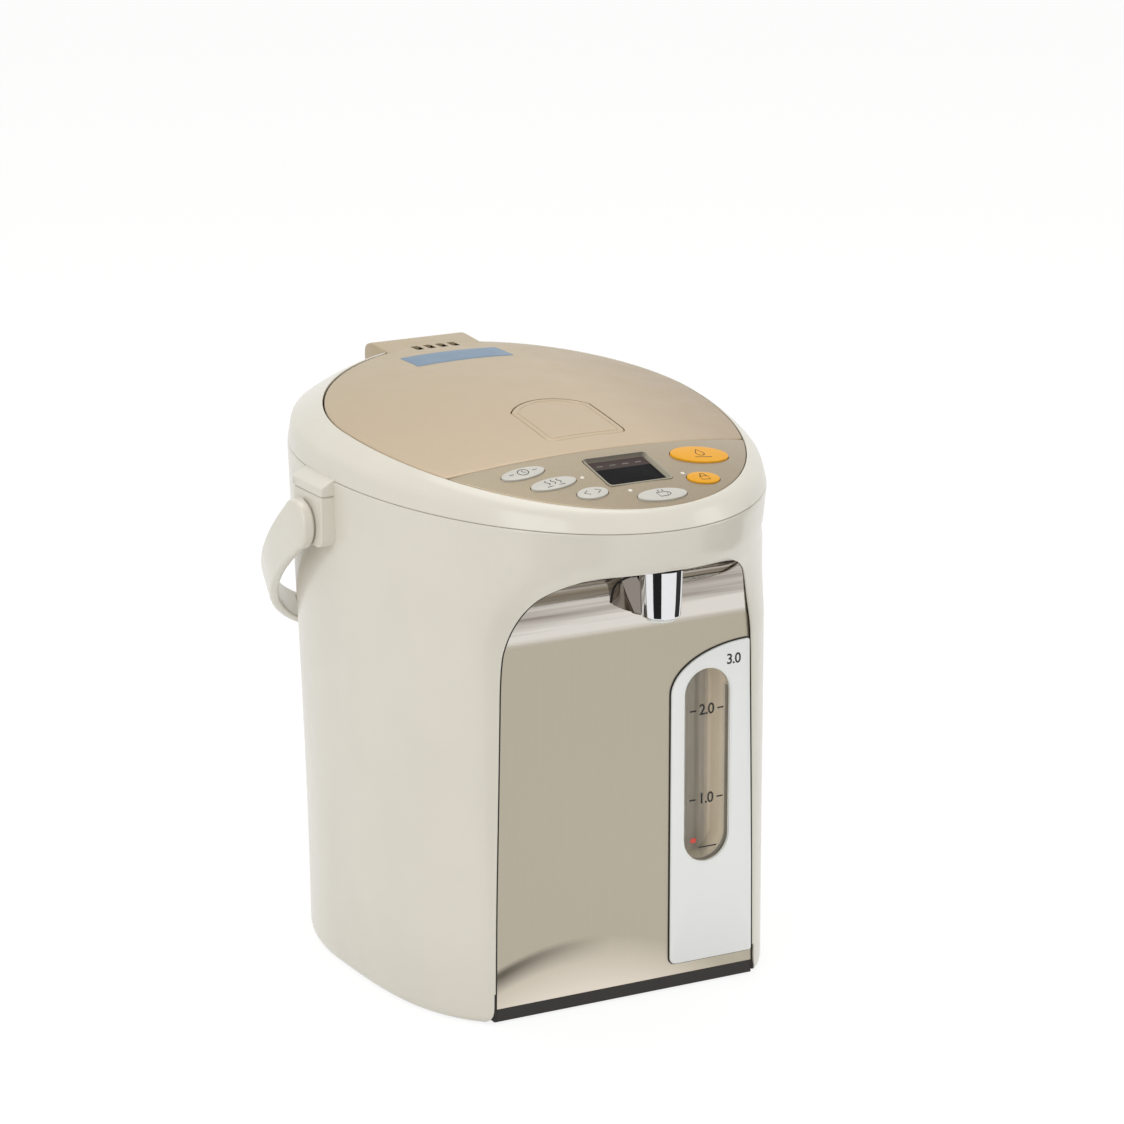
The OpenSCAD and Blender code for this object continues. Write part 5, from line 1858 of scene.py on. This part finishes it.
@dataclass
class Lid:
    """Lid skin, lever, vents and everything under it."""

    lever_w: float = 43.0
    lever_front: float = -64.5
    lever_side: float = -27.0
    lever_apex: float = -15.4
    lever_gap: float = 0.5
    slots: tuple[float, ...] = (-9.4, -2.6, 4.2, 11.0)
    slots_y: float = 94.3
    slot_width: float = 4.2
    slot_length: float = 8.4
    well_floor: float = 261.6
    skirt_low: float = 251.0
    plate_y: float = 69.5
    spring_keep: float = 0.77

    def make(self) -> None:
        """Builds and hangs all pieces of the lid."""
        self.skin_piece()
        self.lever()
        self.bare_plate()
        for node, finish in (("mouth_frame", "inner_plastic"), ("hinge_bracket", "inner_plastic"),
                             ("hinge_pin", "wire"), ("lid_inner", "inner_plastic"),
                             ("lid_plate", "steel"), ("lid_gasket", "gasket"),
                             ("steam_duct", "inner_plastic"), ("vent_grille", "grey_plastic"),
                             ("lid_screws", "wire"), ("lever_pin", "wire"),
                             ("lid_latch", "grey_plastic")):
            smoothed(node, finish)
        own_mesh(smoothed("latch_spring", "wire"))
        fit(circle_of_studs("lid_plate_rivets", 6, (0, 16, 227.4), 56, 1.6, 0.8, "steel"),
            "steel", "lid_plate")

    def lever_outline(self, g: float) -> list[Flat]:
        """Outline of the lever, grown by g: rounded front, arched rear.

        Args:
            g: how far the outline is grown.

        Returns:
            The closed outline.
        """
        w, r = self.lever_w / 2 + g, 4.0 + g
        line = fillet(box(-w, self.lever_front - g, w, self.lever_side),
                      [r * 1.3, r * 1.3, 0.01, 0.01], 8)
        line = [p for p in line if p[1] < self.lever_side - 0.1]
        sag = self.lever_apex - self.lever_side
        big = ((self.lever_w / 2) ** 2 + sag * sag) / (2 * sag) + g
        cy = self.lever_apex + g - big
        span = math.acos(min(w / big, 1.0))
        arc = [(big * math.cos(span + (math.pi - 2 * span) * k / 40),
                cy + big * math.sin(span + (math.pi - 2 * span) * k / 40)) for k in range(41)]
        right = [p for p in line if p[0] > 0]
        left = [p for p in line if p[0] <= 0]
        right.sort(key=lambda p: p[1] * 10 + p[0])
        left.sort(key=lambda p: -p[1] * 10 + p[0])
        return dense(right + arc + left, 2.5)

    def skin_piece(self) -> None:
        """The champagne skin with the lever's well, the tongue and the steam slots."""
        levels = [(0, 0.04, -2.4), (0, 0.5, -2.4), (0, 0.9, -2.4), (0.9, 1, -2.4),
                  (0.2, 1, -2.1), (0, 1, -1.4), (0, 1, -0.6), (0.12, 1, -0.26),
                  (0.4, 1, -0.06), (0.9, 1, 0.0)]
        levels += [(0, r, 0.0) for r in (0.95, 0.86, 0.74, 0.62, 0.5, 0.38, 0.26, 0.15, 0.04)]
        skin = crowned("lid_outer_piece", lambda inset: FORM.lid_outline(inset, 0.0),
                       FORM.oval_y, levels)
        carve(skin, prism("well_cut", self.lever_outline(self.lever_gap), 250, 300, level))
        self.cut_slots(skin, 270)
        fit(skin, "champagne_lid", "lid_outer", "lid_outer", degrees=34)
        self.skirt()
        self.tongue()

    def cut_slots(self, obj: Obj, low: float) -> None:
        """Cuts the steam slots into a piece, from the height low upwards.

        Args:
            obj: the piece.
            low: where the cut starts.
        """
        outline = box_outline(self.slot_width, self.slot_length, 1.1)
        for x in self.slots:
            carve(obj, prism("slot_cut", outline, low, 300,
                             lambda u, v, h, x=x: (x + u, self.slots_y + v, h)))

    def skirt(self) -> None:
        """The wall under the skin, and the lining of the lever's well."""
        outer, inner = FORM.lid_outline(5.4, 1.5), FORM.lid_outline(7.4, 1.5)
        band = [[(x, y, self.skirt_low) for x, y in outer],
                [over_top(x, y, -2.2) for x, y in outer],
                [over_top(x, y, -2.2) for x, y in inner],
                [(x, y, self.skirt_low) for x, y in inner]]
        fit(loft("lid_skirt", band, band=True), "champagne_lid", "lid_outer")
        line = self.lever_outline(self.lever_gap)

        def lining(u: float, v: float, h: float) -> Point:
            """The lining's rim stays a little under the skin."""
            return over_top(u, v, -0.7) if h > 1 else (u, v, self.well_floor + h)
        section = [(0.0, 0.0), (0.0, 2.0), (-1.4, 2.0), (-1.4, -1.4)]
        fit(rim("lever_well_wall", line, section, lining), "champagne_lid", "lid_outer")
        floor = slab("lever_well_floor", line, [(0, 1, -1.4), (0, 1, 0.0)],
                     lambda u, v, h: (u, v, self.well_floor + h))
        fit(floor, "champagne_lid", "lid_outer")

    def tongue(self) -> None:
        """The block at the rear that holds the hinge barrel, with soft ends."""
        line = dense(fillet([(86, 280), (86, 286.9), (112.8, 289.1), (120.1, 286.7),
                             (120.3, 277.0), (114.0, 264.6), (104.0, 263.4), (94.0, 268.0)],
                            [1.6, 1.6, 3.0, 3.6, 4.5, 4.5, 4.5, 3.0], 6), 2.0)
        levels = [(0.8, 1, -26.7), (0.3, 1, -26.5), (0.08, 1, -26.1), (0, 1, -25.5),
                  (0, 1, 0.0), (0, 1, 25.5), (0.08, 1, 26.1), (0.3, 1, 26.5), (0.8, 1, 26.7)]
        block = slab("lid_tongue", line, levels, sideways)
        self.cut_slots(block, 272)
        fit(block, "champagne_lid", "lid_outer")
        step = self.slots[1] - self.slots[0]
        # painted shade: dark floors under the steam slots
        fit(row_of_bars("slot_shade_floors", len(self.slots), (self.slots[0], self.slots_y, 284.6),
                        (step, 0, 0), (self.slot_width - 0.2, self.slot_length - 0.2, 0.5),
                        "painted_shade"), "painted_shade", "lid_outer")

    def lever(self) -> None:
        """The lid's push lever with a soft edge and a faint raised frame."""
        line = self.lever_outline(0.0)
        levels = [(1.5, 0.3, -2.4), (1.5, 1, -2.4), (0, 1, -2.0), (0, 1, -0.5),
                  (0.15, 1, -0.2), (0.5, 1, 0.0), (1.0, 1, 0.05)]
        levels += [(0, r, 0.05) for r in (0.86, 0.7, 0.5, 0.3, 0.1)]
        plate = slab("lid_lever_top", line, levels, over_top)
        legs = copied("lid_lever_legs", "lid_lever", plain=True)
        carve(legs, prism("legs_keep", box(-18, -60, 18, -18.6), 250, 280.6, level), keep=True)
        fit(joined("lid_lever_piece", plate, legs), "champagne_lid", "lid_lever", "lid_lever")
        section = [(0.0, -0.1), (0.05, 0.22), (0.25, 0.3), (0.5, 0.22), (0.6, -0.1)]
        fit(rim("lever_frame", inward(line, 2.6), section, over_top),
            "champagne_lid", "lid_lever")

    def bare_plate(self) -> None:
        """The plain blue plate near the lid's rear."""
        plate = slab("lid_plate_bare", dense(box_outline(54.4, 20.0, 1.0), 3.0),
                     [(0, 1, -0.2), (0, 1, 0.08), (0.15, 1, 0.16), (0, 0.6, 0.16),
                      (0, 0.2, 0.16)], lambda u, v, h: over_top(u, self.plate_y + v, h))
        fit(plate, "blue_plate", "lid_outer")


# ---------- handle ----------


@dataclass
class Handle:
    """Carry handle: a bowed strap with round hubs."""

    pivot_y: float = 11.4
    pivot_z: float = 228.7
    rest: float = 35.0
    reach: float = 157.4
    half: float = 116.2
    thick: float = 4.6
    hub_r: float = 12.4
    grip_y: float = 156.6

    def make(self) -> None:
        """Builds the strap, the hubs and the ribs under the grip."""
        strap = self.strap()
        hubs = [self.hub(s) for s in (-1, 1)]
        fit(joined("carry_handle_piece", strap, *hubs), "ivory_shell", "carry_handle",
            "carry_handle", degrees=40)
        smoothed("handle_pins", "wire")
        self.ribs()

    def hang(self, x: float, y: float, z: float) -> Point:
        """Turns a point of the level handle to its rest angle."""
        a = math.radians(-self.rest)
        return (x, self.pivot_y + y * math.cos(a) - z * math.sin(a),
                self.pivot_z + y * math.sin(a) + z * math.cos(a))

    @staticmethod
    def half_height(y: float) -> float:
        """Half the strap's height, which falls from 12 at the hubs to 8 at the grip."""
        return 12.0 - 4.0 * (1 - (1 - min(max(y / 150, 0.0), 1.0)) ** 2)

    def strap(self) -> Obj:
        """The bowed strap, thin and tall, with rounded edges and a hollow grip."""
        a, b, h = self.half, self.reach, self.thick
        rings = []
        for k in range(121):
            q = math.radians(180 * k / 120)
            mid = Vector(((a + h / 2) * math.cos(q), (b + h / 2) * math.sin(q)))
            out = Vector((math.cos(q) / (a + h / 2), math.sin(q) / (b + h / 2))).normalized()
            top = self.half_height(mid.y)
            low = -top
            dip = 2.6 * min(max((mid.y - 128) / 8, 0.0), 1.0)
            section = soft_line([(h / 2, low, 0), (h / 2, top, 0), (-h / 2, top, 0),
                                 (-h / 2, top - 2.4, 0), (-h / 2 + dip, top - 3.0, 0),
                                 (-h / 2 + dip, low + 3.0, 0), (-h / 2, low + 2.4, 0),
                                 (-h / 2, low, 0)],
                                (1.8, 1.8, 1.6, 0.4, 0.3, 0.3, 0.4, 1.6), 4, closed=True)
            rings.append([self.hang(mid.x + out.x * u, mid.y + out.y * u, v)
                          for u, v, _ in section])
        return loft("strap", rings)

    def hub(self, side: int) -> Obj:
        """A round hub with a slightly domed outer face."""
        levels = [(0, 0.2, 0.1), (1.3, 1, 0.1), (1.3, 1, 0.9), (0.3, 1, 1.1), (0, 1, 1.4),
                  (0, 1, 4.6), (0.25, 1, 5.5), (0.8, 1, 6.1), (1.7, 1, 6.4), (0, 0.7, 6.55),
                  (0, 0.4, 6.65), (0, 0.1, 6.7)]
        return slab(f"hub_{side}", ellipse(self.hub_r, self.hub_r, 96), levels,
                    lambda u, v, h: (side * (114.4 + h), self.pivot_y + u, self.pivot_z + v))

    def ribs(self) -> None:
        """Short ribs across the hollow of the grip."""
        ribs = row_of_bars("handle_ribs", 13, (-66, self.grip_y, 0), (11, 0, 0),
                           (1.2, 3.0, 11.0), "ivory_shell")
        for v in ribs.data.vertices:
            x = v.co.x / MM
            bow = self.reach * math.sqrt(max(1 - (x / self.half) ** 2, 0.0))
            y = v.co.y / MM - self.grip_y + bow + 1.6
            v.co = Vector(self.hang(x, y, v.co.z / MM)) * MM
        fit(ribs, "ivory_shell", "carry_handle")


# ---------- inside ----------


@dataclass
class Inside:
    """Everything that the housing hides, dressed but left as built."""

    pieces: dict[str, str] = field(default_factory=lambda: {
        "vessel": "steel", "vessel_neck": "steel", "vessel_insulation": "insulation",
        "vessel_support": "black_plastic",
        "heater": "heater_metal", "temperature_sensor": "contact", "pump_housing": "pump_plastic",
        "pump_impeller": "impeller_plastic", "pump_motor": "steel", "motor_rotor": "magnet",
        "outlet_hose": "silicone", "outlet_pipe": "pump_plastic", "valve_ball": "wire",
        "power_board": "board_green"})

    def make(self) -> None:
        """Dresses every hidden piece."""
        for node, finish in self.pieces.items():
            smoothed(node, finish)


# ---------- studio ----------


def seen_by(tree: NodeTree, *rays: str) -> Socket:
    """A value that is 1 for the named kinds of ray and 0 for all others."""
    path = tree.nodes.new("ShaderNodeLightPath")
    share = path.outputs[rays[0]]
    for ray in rays[1:]:
        node = tree.nodes.new("ShaderNodeMath")
        node.operation = "MAXIMUM"
        give(tree, node.inputs[0], share)
        give(tree, node.inputs[1], path.outputs[ray])
        share = node.outputs[0]
    return share


def end_in(tree: NodeTree, kind: str, share: Socket,
           a: bpy.types.Node, b: bpy.types.Node) -> None:
    """Ends a tree in an output that turns from shader a to shader b with share."""
    mix = tree.nodes.new("ShaderNodeMixShader")
    for index, socket in enumerate((share, a.outputs[0], b.outputs[0])):
        give(tree, mix.inputs[index], socket)
    add_node(tree, kind, Surface=mix.outputs[0])


def bare_material(name: str) -> Material:
    """A material with an empty tree."""
    mat = bpy.data.materials.new(name)
    mat.use_nodes = True
    mat.node_tree.nodes.clear()
    return mat


@dataclass
class Studio:
    """Camera, lamps and a plain pale floor."""

    eye: Point = (-1.0181, -1.8604, 0.7707)
    look: Point = (0.4709, 0.8426, -0.2613)
    lens: float = 142.2
    world_level: float = 0.58

    def make(self) -> None:
        """Sets the whole studio."""
        self.camera()
        self.world()
        self.floor()
        self.lamps()
        self.cards()
        bpy.context.scene.view_settings.view_transform = "Standard"

    def camera(self) -> None:
        """The camera at its standing place."""
        data = bpy.data.cameras.new("camera")
        data.lens, data.sensor_width = self.lens, 36.0
        data.clip_start, data.clip_end = 0.05, 40.0
        camera = new_object("camera", data)
        camera.location = self.eye
        camera.rotation_mode = "QUATERNION"
        camera.rotation_quaternion = Vector(self.look).to_track_quat("-Z", "Y")
        bpy.context.scene.camera = camera

    def world(self) -> None:
        """Soft light from all round, seen as plain white."""
        world = bpy.data.worlds.new("studio")
        bpy.context.scene.world = world
        world.use_nodes = True
        tree = world.node_tree
        tree.nodes.clear()
        soft = add_node(tree, "ShaderNodeBackground", Color=(1.0, 0.99, 0.97, 1),
                        Strength=self.world_level)
        seen = add_node(tree, "ShaderNodeBackground", Color=(1, 1, 1, 1), Strength=1.0)
        end_in(tree, "ShaderNodeOutputWorld",
               seen_by(tree, "Is Camera Ray", "Is Glossy Ray", "Is Transmission Ray"),
               soft, seen)

    def floor(self) -> None:
        """A wide white floor that keeps the soft shadow."""
        floor = build("studio_floor", [(x, y, 0) for x, y in box(-9000, -9000, 9000, 9000)],
                      [(0, 1, 2, 3)])
        mat = bare_material("studio_floor")
        tree = mat.node_tree
        matte = add_node(tree, "ShaderNodeBsdfDiffuse", Color=(0.9, 0.9, 0.9, 1))
        lit = add_node(tree, "ShaderNodeEmission", Color=(1, 1, 1, 1), Strength=1.08)
        share = add_node(tree, "ShaderNodeMath", operation="MULTIPLY")
        give(tree, share.inputs[0], seen_by(tree, "Is Camera Ray", "Is Glossy Ray"))
        give(tree, share.inputs[1], 0.8)
        end_in(tree, "ShaderNodeOutputMaterial", share.outputs[0], matte, lit)
        floor.data.materials.append(mat)

    def card(self, name: str, azimuth: float, width: float, low: float, high: float,
             shade: float, away: float) -> None:
        """An upright card that only reflections see.

        Args:
            name: the card's name.
            azimuth: where it stands round the pot, in degrees from +X.
            width: how wide it is, in metres.
            low: height of its lower edge.
            high: height of its upper edge.
            shade: how bright it is, 0 for black.
            away: distance from the spout.
        """
        a = math.radians(azimuth)
        out, side = Vector((math.cos(a), math.sin(a))), Vector((-math.sin(a), math.cos(a)))
        middle = Vector((0.0, Front.spout_y * MM)) + out * away
        ends = [middle + side * s * width / 2 for s in (-1, 1)]
        self.sheet(name, [(p.x, p.y, z) for z, p in ((low, ends[0]), (low, ends[1]),
                                                     (high, ends[1]), (high, ends[0]))], shade)

    @staticmethod
    def sheet(name: str, corners: Sequence[Point], shade: float) -> None:
        """A flat sheet, in metres, that only reflections see."""
        obj = build(name, [tuple(v / MM for v in p) for p in corners],
                    [tuple(range(len(corners)))])
        mat = bare_material(name)
        lit = add_node(mat.node_tree, "ShaderNodeEmission", Color=(1, 1, 1, 1), Strength=shade)
        add_node(mat.node_tree, "ShaderNodeOutputMaterial", Surface=lit.outputs[0])
        obj.data.materials.append(mat)
        obj.visible_camera = False
        obj.visible_diffuse = False
        obj.visible_shadow = False

    def cards(self) -> None:
        """Dark cards that give the chrome and the steel their bands."""
        self.card("card_front", 219, 0.17, 0.002, 0.3, 0.02, 0.2)
        self.card("card_right", 350, 0.307, 0.002, 0.3, 0.04, 0.38)

    @staticmethod
    def lamp(name: str, at: Point, size: Flat, watts: float, tint: Colour = (1, 1, 1)) -> None:
        """One soft box that looks at the pot."""
        data = bpy.data.lights.new(name, "AREA")
        data.shape = "RECTANGLE"
        data.size, data.size_y = size
        data.energy = watts
        data.color = tint
        lamp = new_object(name, data)
        lamp.location = at
        lamp.rotation_mode = "QUATERNION"
        lamp.rotation_quaternion = (Vector((0, 0, 0.15)) - Vector(at)).to_track_quat("-Z", "Y")

    def lamps(self) -> None:
        """A broad lamp at the left front, one at the right and one overhead."""
        self.lamp("lamp_left", (-1.9, -1.2, 1.4), (1.2, 1.6), 18, (1.0, 0.99, 0.965))
        self.lamp("lamp_right", (1.9, -0.9, 1.0), (0.7, 1.6), 9)
        self.lamp("lamp_over", (0.0, 0.4, 2.2), (1.6, 1.2), 14, (1.0, 0.98, 0.95))


def main() -> None:
    """Builds the pot piece by piece and then the studio round it."""
    logging.basicConfig(level=logging.INFO, format="%(message)s")
    housing = Housing()
    housing.make()
    Front().make(housing)
    Panel().make()
    Lid().make()
    Handle().make()
    Inside().make()
    Studio().make()


if __name__ == "__main__":
    main()
